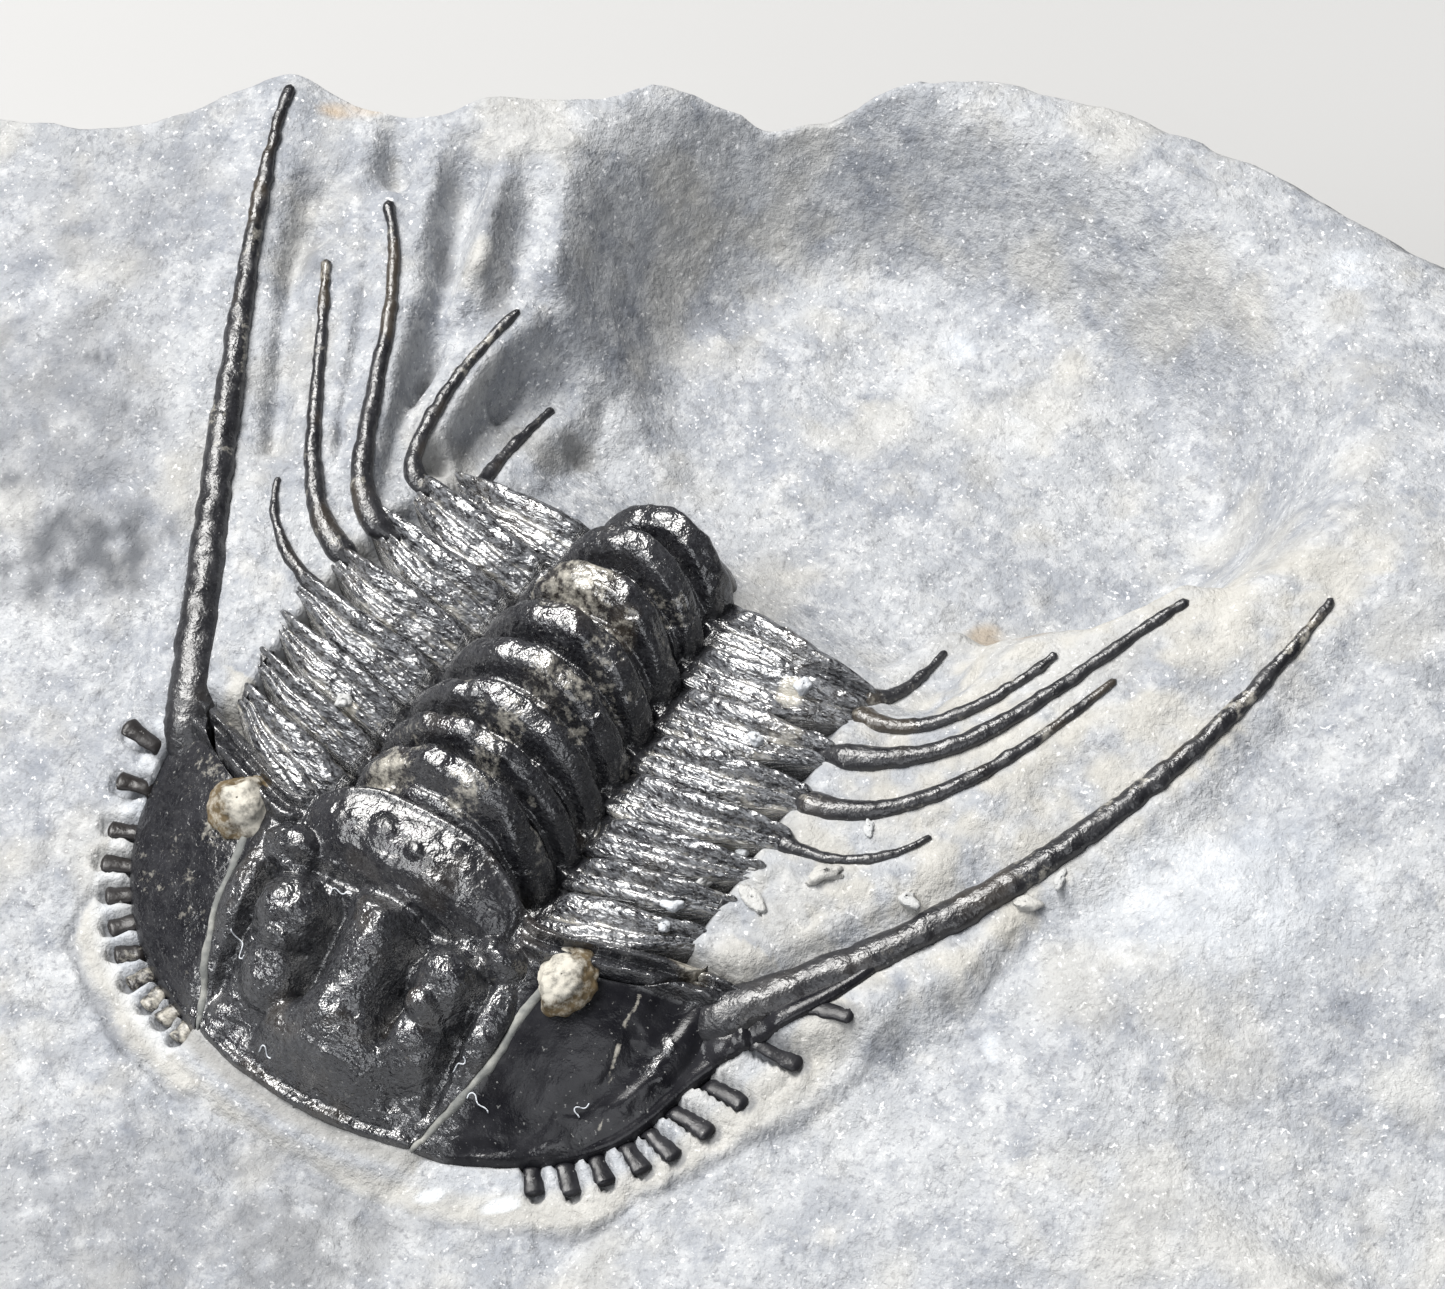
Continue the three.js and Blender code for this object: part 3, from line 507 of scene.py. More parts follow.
def joined(parts):
    """One mesh from closed parts, each given as points, faces and, where it is painted, marks."""
    all_points, all_faces, all_marks, count = [], [], [], 0
    for points, faces, *marks in parts:
        points = np.asarray(points, float).reshape(-1, 3)
        all_faces += [[count + i for i in face] for face in outward(points, faces)]
        all_points.append(points)
        all_marks.append(np.broadcast_to(marks[0] if marks else 0.0, (len(points), 4)))
        count += len(points)
    return np.concatenate(all_points), all_faces, np.concatenate(all_marks)


def build(name, material, nodes, parts):
    """Joins closed parts, in millimetres, into one object that stands for the named nodes."""
    points, faces, marks = joined(parts)
    mesh = bpy.data.meshes.new(name)
    mesh.from_pydata(((points + ORIGIN) * MM).tolist(), [], faces)
    mesh.polygons.foreach_set("use_smooth", np.ones(len(mesh.polygons), bool))
    layer = mesh.color_attributes.new("marks", "FLOAT_COLOR", "POINT")
    layer.data.foreach_set("color", np.clip(marks, 0, 1).astype(np.float32).ravel())
    mesh.materials.append(material)
    mesh.update()
    piece = bpy.data.objects.new(name, mesh)
    bpy.context.scene.collection.objects.link(piece)
    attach(piece, "root")
    if nodes:
        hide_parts(*nodes)


def four_marks(*channels):
    """A part's marks, from up to four channels that are arrays or single numbers.

    The rock's are warm, dark, rust and bright; the shell's are pale, rust, glitter and dull.
    """
    return np.stack(np.broadcast_arrays(*channels, *[0.0] * (4 - len(channels))), -1)


def grid_faces(rows, columns, wrap=False):
    first = np.arange(rows * columns).reshape(rows, columns)
    if wrap:
        first = np.c_[first, first[:, :1]]
    corners = [first[:-1, :-1], first[:-1, 1:], first[1:, 1:], first[1:, :-1]]
    return np.stack([corner.ravel() for corner in corners], -1).tolist()


def end_fans(rows, columns):
    """Triangles from the first and the last ring to two more points, one at each end."""
    first_end, last_end, last = rows * columns, rows * columns + 1, (rows - 1) * columns
    faces = []
    for c in range(columns):
        n = (c + 1) % columns
        faces += [[first_end, n, c], [last_end, last + c, last + n]]
    return faces


def sheet(top):
    """A closed part under a grid of points, with walls that end inside the rock."""
    rows, columns = top.shape[:2]
    low = []
    for edge in (top[0], top[-1]):
        foot = edge.copy()
        foot[:, 2] = np.minimum(edge[:, 2] - 0.3, rock_height(edge[:, 0], edge[:, 1]) - WALL_DEPTH)
        low.append(foot)
    points = np.concatenate([top.reshape(-1, 3), *low])
    last, under = (rows - 1) * columns, rows * columns
    faces = grid_faces(rows, columns)
    for c in range(columns - 1):
        faces.append([c + 1, c, under + c, under + c + 1])
        faces.append([last + c, last + c + 1, under + columns + c + 1, under + columns + c])
        faces.append([under + c + 1, under + c, under + columns + c, under + columns + c + 1])
    left = [r * columns for r in range(rows)]
    right = [i + columns - 1 for i in left]
    faces.append([*left, under + columns, under])
    faces.append([*right[::-1], under + columns - 1, under + 2 * columns - 1])
    return points, faces


def walled(values):
    """Values for a sheet's grid of points, followed by zeros for the feet of its walls."""
    return np.r_[values.ravel(), np.zeros(2 * values.shape[1])]


def tube(line, radius, sides, lumps=0.0, seed=0, flatness=1.0):
    """A closed rod along a line, of a radius at each of its points."""
    run = unit(np.gradient(line, axis=0))
    across = unit(np.cross(run, (0, 0, 1.0)))
    over = np.cross(across, run)
    angle = np.linspace(0, 2 * np.pi, sides, endpoint=False)
    spoke = (np.cos(angle)[None, :, None] * across[:, None]
             + flatness * np.sin(angle)[None, :, None] * over[:, None])
    points = line[:, None] + spoke * np.asarray(radius)[:, None, None]
    if lumps:
        points += spoke * (lumps * rough(points, 0.5, seed))[..., None]
    faces = grid_faces(len(line), sides, wrap=True) + end_fans(len(line), sides)
    return np.concatenate([points.reshape(-1, 3), line[:1], line[-1:]]), faces


def round_ends(radius, line):
    """Draws a rod's radius in over its last stretch, so that its tip is round."""
    run = run_along(line)
    left = np.clip((run[-1] - run) / radius, 0, 1)
    return radius * np.sqrt(np.clip(1 - (1 - left) ** 2, 0.02, 1))


def ball(rows, columns, top, bottom, foot=0.0):
    """A ball of radius 1 from latitude `top` down to `bottom`, wider below by `foot`, and its faces."""
    lat = np.linspace(top, bottom, rows)[:, None]
    lon = np.linspace(0, 2 * np.pi, columns, endpoint=False)[None]
    wide = np.cos(lat) * (1 + foot * smooth(0.5, -0.4, lat))
    points = np.stack([wide * np.cos(lon), wide * np.sin(lon), np.sin(lat) + 0 * lon], -1)
    last = (rows - 1) * columns
    faces = grid_faces(rows, columns, wrap=True)
    faces += [list(range(columns)), [last + c for c in range(columns)][::-1]]
    return points, faces


# The rock
ROCK_RAYS = 620
BODY_REACHES = np.r_[0.2, 0.4, 0.6, np.linspace(0.76, 1.34, 56), np.linspace(1.355, 1.5, 9)]
RIM_SHARES = steps(61)[1:] ** 1.12
SIDE_LEVELS = [0.02, 0.06, 0.12, 0.19, 0.27, 0.35, 0.43, 0.51, 0.6, 0.69, 0.78, 0.86, 0.93, 1.0]


def body_ring():
    """Even points on the oval where body_reach is 1, about its own middle."""
    turn = np.linspace(0, 2 * np.pi, 6001)
    ring = np.stack([
        half * np.sign(wave) * np.abs(wave) ** (2 / 3)
        for half, wave in ((BODY_HALF_WIDTH, np.cos(turn)), (BODY_HALF_LENGTH, np.sin(turn)))], -1)
    return evenly(ring, ROCK_RAYS + 1)[:-1]


def rock_rings():
    """Rings of places in plan, from under the body out to the block's rim, and the rays' angles."""
    ring = body_ring()
    rings = [np.array([0.0, BODY_CENTRE_Y]) + reach * ring for reach in BODY_REACHES]
    start = rings[-1]
    away = start - BLOCK_CENTRE
    angle = np.arctan2(away[:, 1], away[:, 0])
    rim = through(OUTLINE, np.degrees(angle) % 360)
    rim = rim + 0.45 * rough(flat(np.cos(angle), np.sin(angle)) * 30, 4.0, 61)
    edge = BLOCK_CENTRE + rim[:, None] * rays(angle)
    rings += [mix(start, edge, share) for share in RIM_SHARES]
    return np.array(rings), np.r_[np.zeros(len(BODY_REACHES)), RIM_SHARES], angle


def rock_relief(points):
    """Unevenness of the broken face, in millimetres: swells, hackly steps and grains."""
    relief = 0.28 * noise(points, 6.0, 21) + 0.16 * noise(points, 2.6, 22)
    for size, seed, height in ((2.4, 25, 0.16), (0.9, 29, 0.09)):
        flakes, own = grains(points * (1, 1, 0.3), size, seed)
        relief += height * (own - 0.5) * smooth(0.1, 0.5, flakes)
    return relief + 0.07 * noise(points, 0.9, 23) + 0.045 * noise(points, 0.45, 24)


def rock_face(rings, rim_share):
    """The upper face: drawn down at the rim, and less uneven beside the fossil than away from it."""
    x, y = rings[..., 0], rings[..., 1]
    z = rock_height(x, y) - 0.8 * (smooth(0.93, 1, rim_share) ** 2)[:, None]
    spots = np.stack([x, y, z], -1)
    spine_gap, _ = nearest_of(x, y, SEATS)
    head_gap, _ = nearest_of(x, y, MARGIN)
    free = smooth(0.2, 1.2, spine_gap) * smooth(0.9, 1.1, body_reach(x, y)) * smooth(0.8, 2.4, head_gap)
    spots[..., 2] += rock_relief(spots) * (0.25 + 0.75 * free)
    return spots


def rock_side(rim, angle, level):
    """One ring of the block's broken side, from level 0 at the rim to 1 at the base."""
    swell = 0.028 * np.sin(3 * angle + 0.7) + 0.022 * np.sin(7 * angle + 2.1 + 3 * level)
    scale = 1 - 0.05 * level + np.sin(np.pi * min(level, 0.999)) * (swell - 0.004)
    place = BLOCK_CENTRE + (rim[:, :2] - BLOCK_CENTRE) * scale[:, None]
    side = np.c_[place, mix(rim[:, 2], BLOCK_BASE_Z, level)]
    _, facet = grains(side, 7.0, 31)
    push = (facet - 0.5) * 1.3 + 0.7 * rough(side, 3.0, 32)
    push = push * np.sin(np.pi * min(level, 0.96)) ** 0.5
    side[:, :2] += push[:, None] * rays(angle)
    return side


def rock_part():
    rings, rim_share, angle = rock_rings()
    face = rock_face(rings, rim_share)
    grid = np.concatenate([face, np.array([rock_side(face[-1], angle, level) for level in SIDE_LEVELS])])
    middle_z = rock_height(np.zeros(1), np.full(1, BODY_CENTRE_Y))[0]
    ends = [[0, BODY_CENTRE_Y, middle_z], [*BLOCK_CENTRE, BLOCK_BASE_Z]]
    points = np.concatenate([grid.reshape(-1, 3), ends])
    rows, columns = grid.shape[:2]
    faces = grid_faces(rows, columns, wrap=True) + end_fans(rows, columns)
    return points, faces, rock_marks(points)


PATCHES = [  # x, y, reach to the viewer's right, reach away, then warm, dark, rust, bright
    # The dark oval at (-17.9, 2.5) and the small dark pits at (-21.8, 8.7), (-19.4, 7.8), (-21.8, 5.8) and
    # (-21.7, 3.6) are painted shade of a hollow and its pits.
    (-17.9, 2.5, 4.2, 2.7, 0, 1.0, 0, 0), (-21.5, 7.0, 4.8, 6.0, 0, 0.52, 0, 0),
    (-21.8, 8.7, 0.9, 0.22, 0, 1, 0, 0), (-19.4, 7.8, 0.6, 0.35, 0, 0.9, 0, 0),
    (-21.8, 5.8, 0.7, 0.3, 0, 0.8, 0, 0), (-21.7, 3.6, 0.8, 0.35, 0, 0.8, 0, 0),
    (2.7, -14.0, 5.0, 2.6, 0.1, 0.6, 0, 0), (-2.0, -17.0, 14.0, 6.5, 0, 0.42, 0, 0),
    (-24.6, 14.2, 5.0, 5.0, 0, 0.3, 0, 0), (23.8, 10.2, 6.0, 4.0, 0, 0, 0, 0.3),
    (9.9, 17.7, 1.1, 1.1, 0.6, 0.4, 0.3, 0), (12.6, 16.2, 0.8, 0.7, 0.5, 0.5, 0.3, 0),
    # The bright spots at (5.9, 26.5), (2.0, 28.6) and (14.2, 34.7) are painted highlights on the hollow
    # behind the tail.
    (-19.5, 21.5, 1.4, 0.5, 0.3, 0, 0.5, 0), (5.9, 26.5, 0.8, 1.1, 0, 0, 0, 0.5),
    (2.0, 28.6, 0.8, 1.0, 0, 0, 0, 0.4), (14.2, 34.7, 1.4, 1.2, 0, 0, 0, 0.5),
    (5.7, -10.4, 0.7, 0.3, 0.5, 0, 0, 0.8), (8.0, -9.6, 0.9, 0.3, 0.5, 0, 0, 0.8),
    (25.4, 0.5, 0.25, 0.2, 0, 0, 0, 1), (19.6, 2.4, 0.2, 0.9, 0, 0, 0, 0.6),
    # The dark streaks from (-19.0, 18.1) to (-6.5, 16.4) are painted shade in the valleys between the spines'
    # banks, the last three with some warm tone.
    (-19.0, 18.1, 0.6, 1.6, 0, 0.5, 0, 0), (-17.3, 16.2, 0.7, 1.6, 0, 0.5, 0, 0),
    (-13.5, 18.7, 0.5, 1.8, 0, 0.6, 0, 0), (-12.4, 20.1, 0.6, 1.6, 0, 0.5, 0, 0),
    (-10.7, 18.0, 0.8, 1.6, 0.2, 0.4, 0, 0), (-7.4, 15.3, 1.5, 1.0, 0.35, 0.45, 0, 0),
    (-6.5, 16.4, 1.2, 0.6, 0.3, 0.45, 0, 0), (32.0, 8.0, 1.6, 1.0, 0.6, 0, 0, 0.3),
]


def as_seen(x, y):
    """A place in plan, counted to the viewer's right and away from the viewer."""
    cosine, sine = np.cos(VIEW_TURN), np.sin(VIEW_TURN)
    return x * cosine + y * sine, y * cosine - x * sine


def patch_marks(points, above):
    """The four channels of the rock's named patches, over a faint warm mottling."""
    x, y, _ = points.T
    right, away = as_seen(x, y)
    marks = [0.3 * smooth(0.1, 0.8, rough(points, 3.0, 71)), 0 * x, 0 * x, 0 * x]
    blotchy = (0.75 + 0.45 * rough(points, 0.8, 72)) * above
    for place_x, place_y, reach_right, reach_away, *amounts in PATCHES:
        patch = oval(right, away, as_seen(place_x, place_y), (reach_right, reach_away), 0.8)
        share = smooth(0.05, 0.9, patch * blotchy)
        marks = [np.maximum(mark, amount * share) for mark, amount in zip(marks, amounts)]
    return marks


def rock_marks(points):
    """The patches, the ledge's crack darkened with painted shade, the rock round the fringe with painted
    shade under the front rim and round the denticles' roots, and the rock among the left spines.
    """
    x, y, z = points.T
    above = smooth(-1.5, -0.4, z - rock_height(x, y))
    warm, dark, rust, bright = patch_marks(points, above)
    gap, _ = ledge_gap(x, y)
    margin, _ = nearest_of(x, y, MARGIN)
    spines, _ = nearest_of(x, y, SEATS)
    peg, _ = nearest_of(x, y, DENTICLE_SPOTS)
    # The crack's dark line is painted shade in the groove.
    crack = 0.45 * bump(gap, 0.05, 0.28) * smooth(-0.6, 0.3, rough(points, 1.5, 73)) * above
    near = fade(-0.4, 0.1, gap) * above * fade(2.2, 3.5, margin) * (y < 1)
    among_spines = fade(2.0, 4.0, spines) * smooth(8, 11, x) * smooth(0, 3, y) * (gap < 0)
    dusty = 0.55 * among_spines * smooth(-0.7, 0.5, rough(points, 1.0, 74))
    finger = near * smooth(0.3, 0.45, peg) * fade(1.2, 1.7, margin) * (np.abs(x) > 4.9)
    # Under the head's front rim the bank is warmer in tone and darkened with painted shade, as it faces away
    # from the key light.
    strip = bump(margin, 0.4, 0.55) * (np.abs(x) < 4.8) * (y < -8)
    # Painted shade on the rock round each denticle's root.
    painted_shade_round_pegs = fade(0.26, 0.42, peg) * near
    return four_marks(
        highest(warm, 0.5 * near * smooth(0.9, 1.3, margin), dusty, 0.5 * strip),
        highest(dark, crack, 0.4 * strip, 0.7 * painted_shade_round_pegs), rust,
        highest(bright, mix(0.1, 0.3, x < 0) * finger * (y < -1.5)))


# The head
LOBES = [  # centre, reach, height: the swellings on both sides of the middle lobe
    ((3.15, -4.9), (1.4, 1.6), 1.2), ((3.0, -7.1), (1.15, 1.7), 0.95), ((4.45, -3.3), (0.9, 0.75), 0.7),
    ((5.0, -5.4), (0.75, 1.7), 0.4), ((-2.95, -5.3), (1.45, 1.4), 1.2), ((-2.7, -7.3), (1.15, 1.35), 0.85),
    ((-4.1, -3.3), (1.15, 0.85), 0.75), ((-5.0, -5.4), (0.75, 1.7), 0.4), ((0.5, -3.75), (1.3, 0.4), 0.35),
]
TUBERCLES = [  # centre, reach, height: on the ring at the back of the head
    ((0.2, -1.6), (0.4, 0.35), 0.14), ((1.5, -0.8), (0.3, 0.3), 0.1), ((-1.2, -1.3), (0.6, 0.5), 0.12),
    ((1.4, -2.3), (0.7, 0.4), 0.1), ((-0.6, -2.5), (0.7, 0.4), 0.08),
]
# Y and rise of the ring at the back of the head
OCCIPITAL_RISE = [(-3.6, 0.0), (-3.1, 0.35), (-2.5, 0.8), (-1.8, 1.02), (-1.2, 1.05), (-0.6, 0.98), (0, 0.86)]
# X on the suture, and X where its column of points meets the back edge
SUTURE_TO_BACK = [(4.2, 3.2), (5.3, 4.2), (6.1, 5.2), (7.7, 7.3), (9.0, 8.8), (9.9, 9.9), (10.3, 10.3)]
SUTURE_HALF_GAP = 0.12
CHEEK_RIM = 0.25
CHEEK_FROM_X = 4.4
CRACK_FROM_ABOVE = (1, 0.93)  # the head's tilt shortens the crack, seen in plan
CHEEK_CRACK = evenly(CRACK_FROM_ABOVE * np.array([
    (8.5, -1.3), (8.77, -1.87), (8.75, -2.3), (8.9, -2.87), (8.8, -3.4), (8.95, -3.9), (9.14, -4.8),
    (9.35, -5.4), (9.45, -5.8), (9.71, -6.7)]), 160)


def glabella_height(x, y):
    """The swollen middle of the head: its middle lobe, side lobes, furrows and rear ring."""
    side = np.abs(x)
    wide = 1.25 + 1.5 * fade(-9.0, -6.4, y)
    off = 0.35 * fade(-4.5, -3.4, y)
    middle = 1.45 * np.clip(1 - ((x - off) / wide) ** 2, 0, 1) ** 0.7 * between(-9.5, -3.5, 0.8, y)
    lobes = 1.12 * swellings(x, y, LOBES, 0.75)
    furrows = (0.6 * bump(np.abs(x - off), 1.7, 0.5) * between(-7.6, -3.9, 0.5, y)
               + 0.5 * bump(side, 4.35, 0.45) * between(-8.8, -4.2, 0.5, y)
               + 0.35 * bump(y, -3.25 - 0.12 * side, 0.35) * fade(3.6, 4.6, side))
    dents = 0.12 * rough(flat(x, y), 1.3, 54) * fade(4.8, 5.6, side) * fade(-4, -3, y)
    lumps = np.maximum(middle, lobes) + 0.35 * np.minimum(middle, lobes)
    return lumps - furrows + dents + occipital_ring(x, y)


def occipital_ring(x, y):
    """The high smooth ring at the back of the head, with its few tubercles."""
    side = np.abs(x)
    roof = np.maximum(1 - (x / 4.3) ** 2, 0) ** 0.5 * through(OCCIPITAL_RISE, y)
    lip = 0.1 * bump(y - through(BACK_EDGE, side), -0.1, 0.22) * fade(3.6, 4.2, side)
    return 1.1 * roof + swellings(x, y, TUBERCLES, 1) + lip


def head_height(x, y):
    side = np.abs(x)
    share = side / np.maximum(head_half_width(y, x), 0.01)
    dome = through(HEAD_CREST, y) * (1 - np.minimum(share, 1) ** 2.6)
    strength = np.where(x > 0, 0.4 + 0.6 * smooth(-7, -4, y), 0.15)
    border = (0.14 * bump(share, 0.965, 0.06) - 0.16 * bump(share, 0.87, 0.08)) * strength
    border = border * (0.35 + 0.65 * smooth(-0.35, 0.25, rough(flat(x, y), 1.2, 58)))
    front = 0.3 * bump(y - front_y(x), 0.2, 0.35) * fade(4.5, 5.2, side)
    behind = y - through(BACK_EDGE, side)
    back = (0.5 * bump(behind, -0.24, 0.26) + 0.45 * bump(behind, -0.85, 0.36)) * smooth(4.2, 4.9, side)
    return 0.28 + dome + border * smooth(4.6, 5.6, side) + front + back + glabella_height(x, y)


def head_back_y(x):
    """The back edge of the head, seen from above."""
    back = through(BACK_EDGE, np.abs(x))
    return back * np.cos(HEAD_TILT) - head_height(x, back) * np.sin(HEAD_TILT)


def margin_line(side, count):
    """The cheek's rim, from the front to the genal spine."""
    y = -HEAD_LENGTH * np.sin(np.linspace(np.pi / 2, 0, 600))
    line = np.stack([margin_half_width(y, side), y], -1)
    return evenly(line[line[:, 0] >= CHEEK_FROM_X], count)


def shell_grain(spots, amount):
    """Fine tubercles standing on the shell, in millimetres."""
    big, own = grains(spots, 0.34, 41)
    small, _ = grains(spots, 0.17, 45)
    return amount * (0.045 * big * (own > 0.5) + 0.016 * small)


def head_grain(x, y):
    """How strongly each place of the head is granulated, from 0 to 1."""
    side = np.abs(x)
    share = side / np.maximum(head_half_width(y, x), 0.01)
    middle = fade(5.2, 5.9, side) * (1 - 0.5 * smooth(-3.6, -2.8, y) * fade(3.8, 4.4, side))
    border = 0.9 * smooth(-1.4, -1.0, y - through(BACK_EDGE, side)) * smooth(4.4, 5.2, side)
    ridge = 0.7 * bump(share, 0.95, 0.08) * (x > 0) * smooth(0.0, 0.4, rough(flat(x, y), 1.1, 55))
    return np.clip(0.05 + 0.95 * middle + (0.25 + 0.75 * smooth(-6, -3.5, y)) * ridge + border, 0, 1)


def head_surface(x, y):
    h = head_height(x, y)
    spots = np.stack([x, y, h], -1)
    grain = head_grain(x, y)
    corners = oval(x, y, (3.3, -9.7), (1.2, 0.6), 1) + oval(x, y, (-3.8, -9.4), (0.9, 0.7), 1)
    h = h + corners * (0.16 + 0.1 * rough(spots, 0.45, 52))
    h = h + shell_grain(spots, grain) + (0.02 + 0.07 * grain) * rough(spots, 0.9, 51)
    return head_point(x, y, h)


def head_marks(points, grain):
    """The right cheek is pale with dust and painted sheen, the left one cracked, and its rear corner pale and
    rusty.
    """
    x, y, _ = points.T
    dust = 0.15 * smooth(0.4, 1.0, rough(points, 0.9, 151)) * grain
    rust = 0.1 * smooth(0.4, 0.9, rough(points, 1.7, 153)) * grain
    # On the smooth right cheek this pale haze is painted sheen as well as dust.
    dust = dust + 0.3 * (x < -5.5) * smooth(-0.4, 0.8, rough(points, 1.2, 155)) * (grain < 0.3)
    worn = 0.42 * oval(x, y, (-8.3, -0.6), (1.7, 0.7), 0.7)
    corner = oval(x, y, (9.6, -0.6), (0.9, 0.5), 0.7)
    gap, _ = nearest_of(x, y, CHEEK_CRACK)
    crack = 0.55 * fade(0.03, 0.1, gap) * smooth(-0.2, 0.2, rough(points, 0.45, 157))
    # The right cheek's extra glitter gives it more gloss and, through the shell's painted sheen, a lighter
    # base colour.
    glitter = highest(0.02 + 0.72 * grain, 0.36 * (x < -5.7))
    return four_marks(highest(dust, worn, crack, 0.6 * corner), highest(rust, 0.4 * corner), glitter)


def head_plate(plan, side=1, sink=0):
    """A plate of the head over a grid of places, on the left or mirrored, lowered by `sink`."""
    x, y = side * plan[..., 0], plan[..., 1]
    top = head_surface(x, y)
    top[..., 2] -= sink
    points, faces = sheet(top)
    return points, faces, head_marks(points, walled(head_grain(x, y)))


def cranidium_part():
    half = shifted(smooth_line(SUTURE, 130), -SUTURE_HALF_GAP)
    half[:, 1] = np.maximum(half[:, 1], front_y(half[:, 0]) + 0.02)
    end_x = half[0, 0]
    centre = np.linspace(-end_x, end_x, 91)[1:-1]
    front = np.concatenate([half[::-1] * (-1, 1), np.stack([centre, front_y(centre)], -1), half])
    side = np.abs(front[:, 0])
    inner_x = side * through(SUTURE_TO_BACK, end_x) / end_x
    back_x = np.sign(front[:, 0]) * np.where(side > end_x, through(SUTURE_TO_BACK, side), inner_x)
    back_y = np.maximum(through(BACK_EDGE, np.abs(back_x)), front[:, 1] + 0.06)
    back = np.stack([back_x, back_y], -1)
    return head_plate(mix(front[None], back[None], steps(130)[:, None, None]))


def cheek_part(side):
    """The plate between a suture and the margin, rounded over at its rim."""
    inner = shifted(smooth_line(SUTURE, 150), SUTURE_HALF_GAP)
    outer = margin_line(side, 150)
    inner[:, 1] = np.maximum(inner[:, 1], front_y(inner[:, 0]) + 0.04)
    share = steps(80)[:, None, None]
    width = np.linalg.norm(outer - inner, axis=1)[None]
    edge = np.clip((1 - share[..., 0]) * width / CHEEK_RIM, 0, 1)
    plan = mix(inner[None], outer[None], share)
    return head_plate(plan, side, CHEEK_RIM * (1 - np.sqrt(1 - (1 - edge) ** 2)))


def eye_part(side):
    """A weathered knob, pale on top, that stands on a wide foot; the pale top is partly painted light and the
    brown lower side partly painted shade.
    """
    knob, faces = ball(60, 90, np.pi / 2 - 0.02, -0.9, foot=0.35)
    local = knob * EYE_REACH * (1.25, 0.95, 0.75)
    local = local * (1 + 0.2 * rough(local, 0.9, 81 + side) + 0.06 * rough(local, 0.3, 85))[..., None]
    local = local - (0, 0, 0.1)
    place = EYE + local
    points = head_point(side * place[..., 0], place[..., 1], place[..., 2]).reshape(-1, 3)
    # Pale towards the top and brown below: the knob's own colours with painted light on its top and painted
    # shade on its lower side.
    high = smooth(-0.1, 0.6, (local[..., 2] - 0.5 * local[..., 0]).ravel() + 0.3 * rough(points, 0.5, 82))
    return points, faces, four_marks(mix(0.3, 0.75, high), 0.8 * (1 - high), 0.0, 1.0)


def spine_rod(line, radii, taper, flare, sides, lumps, seed, flatness):
    """A spine along a line: wider towards its root, drawn in where it leaves the plate, round at its tip."""
    share = steps(len(line))
    radius = mix(*radii, share ** taper) * (1 + flare * fade(0.0, 0.3, share))
    radius = round_ends(radius, line) * (0.3 + 0.7 * smooth(0.0, 0.07, share))
    points, faces = tube(line, radius, sides, lumps, seed, flatness)
    return points, faces, spine_marks(points)


def spine_marks(points):
    far = smooth(2, 12, points[:, 1])
    worn = (0.06 + 0.26 * far) * smooth(0.1, 0.7, rough(points, 1.1, 92))
    rust = (0.05 + 0.15 * far) * smooth(0.2, 0.7, rough(points, 2.1, 93))
    glitter, dull = 0.36, 0.25
    return four_marks(worn, rust, glitter, dull)


def genal_line(side):
    return evenly(bezier(GENAL_SPINES[side], 300), 230)


def genal_part(side):
    line = genal_line(side)
    line[:, 2] -= 0.4 * fade(0, 0.12, steps(len(line)))
    return spine_rod(line, GENAL_RADII, GENAL_TAPER, flare=0.25, sides=24, lumps=0.07, seed=91, flatness=0.8)


def web_part():
    """The flat brim's end, which runs out along the outer side of the left genal spine."""
    line = genal_line(1)[4:66]
    reach = through(BRIM_REACH, steps(len(line)))
    outer = shifted(line[:, :2], reach[:, None])
    rim = np.c_[outer, rock_height(*outer.T) + 0.2]
    share = steps(14)[:, None, None]
    top = mix(line[None], rim[None], share) + np.array([0, 0, 0.5]) * share * (1 - share ** 3)
    return *sheet(top), (0, 0, 0.1, 0)


def denticle_parts(side):
    """Flat blunt bars that widen to squared tips, set into the rock at their roots."""
    share = steps(26)
    clear = 8  # the first of these points that is clear of the head's rim
    for index, ends in enumerate(DENTICLES[side]):
        foot, tip = np.array(ends[:2]), np.array(ends[2:])
        inward = (foot - tip) / np.linalg.norm(foot - tip)
        plan = mix(foot + 0.28 * inward, tip, share[:, None])
        line = head_point(plan[:, 0], plan[:, 1], mix(-0.08, 0.18, share))
        sunk = rock_height(*line[clear:, :2].T) - line[clear:, 2]
        outside = (share - share[clear]) / (1 - share[clear])
        lift = (side > 0) * np.maximum(mix(sunk[0], sunk[-1], outside), 0)
        line[:, 2] += np.clip(lift + np.maximum(sunk - lift[clear:], 0).max() + 0.01, 0, 1.5)
        line[:, 2] -= 0.6 * fade(0, 0.25, share)
        radius = 0.3 + 0.07 * smooth(0.5, 0.9, share)
        radius = radius * np.clip((1.01 - share) / 0.09, 0.04, 1) ** 0.4
        bared = 0.45 * (side < 0) * smooth(5, 8, index)
        points, faces = tube(line, radius, sides=20, lumps=0.06, seed=95 + index, flatness=0.42)
        yield points, faces, (bared, 0.05 * (side < 0), 0.1, 0.3)


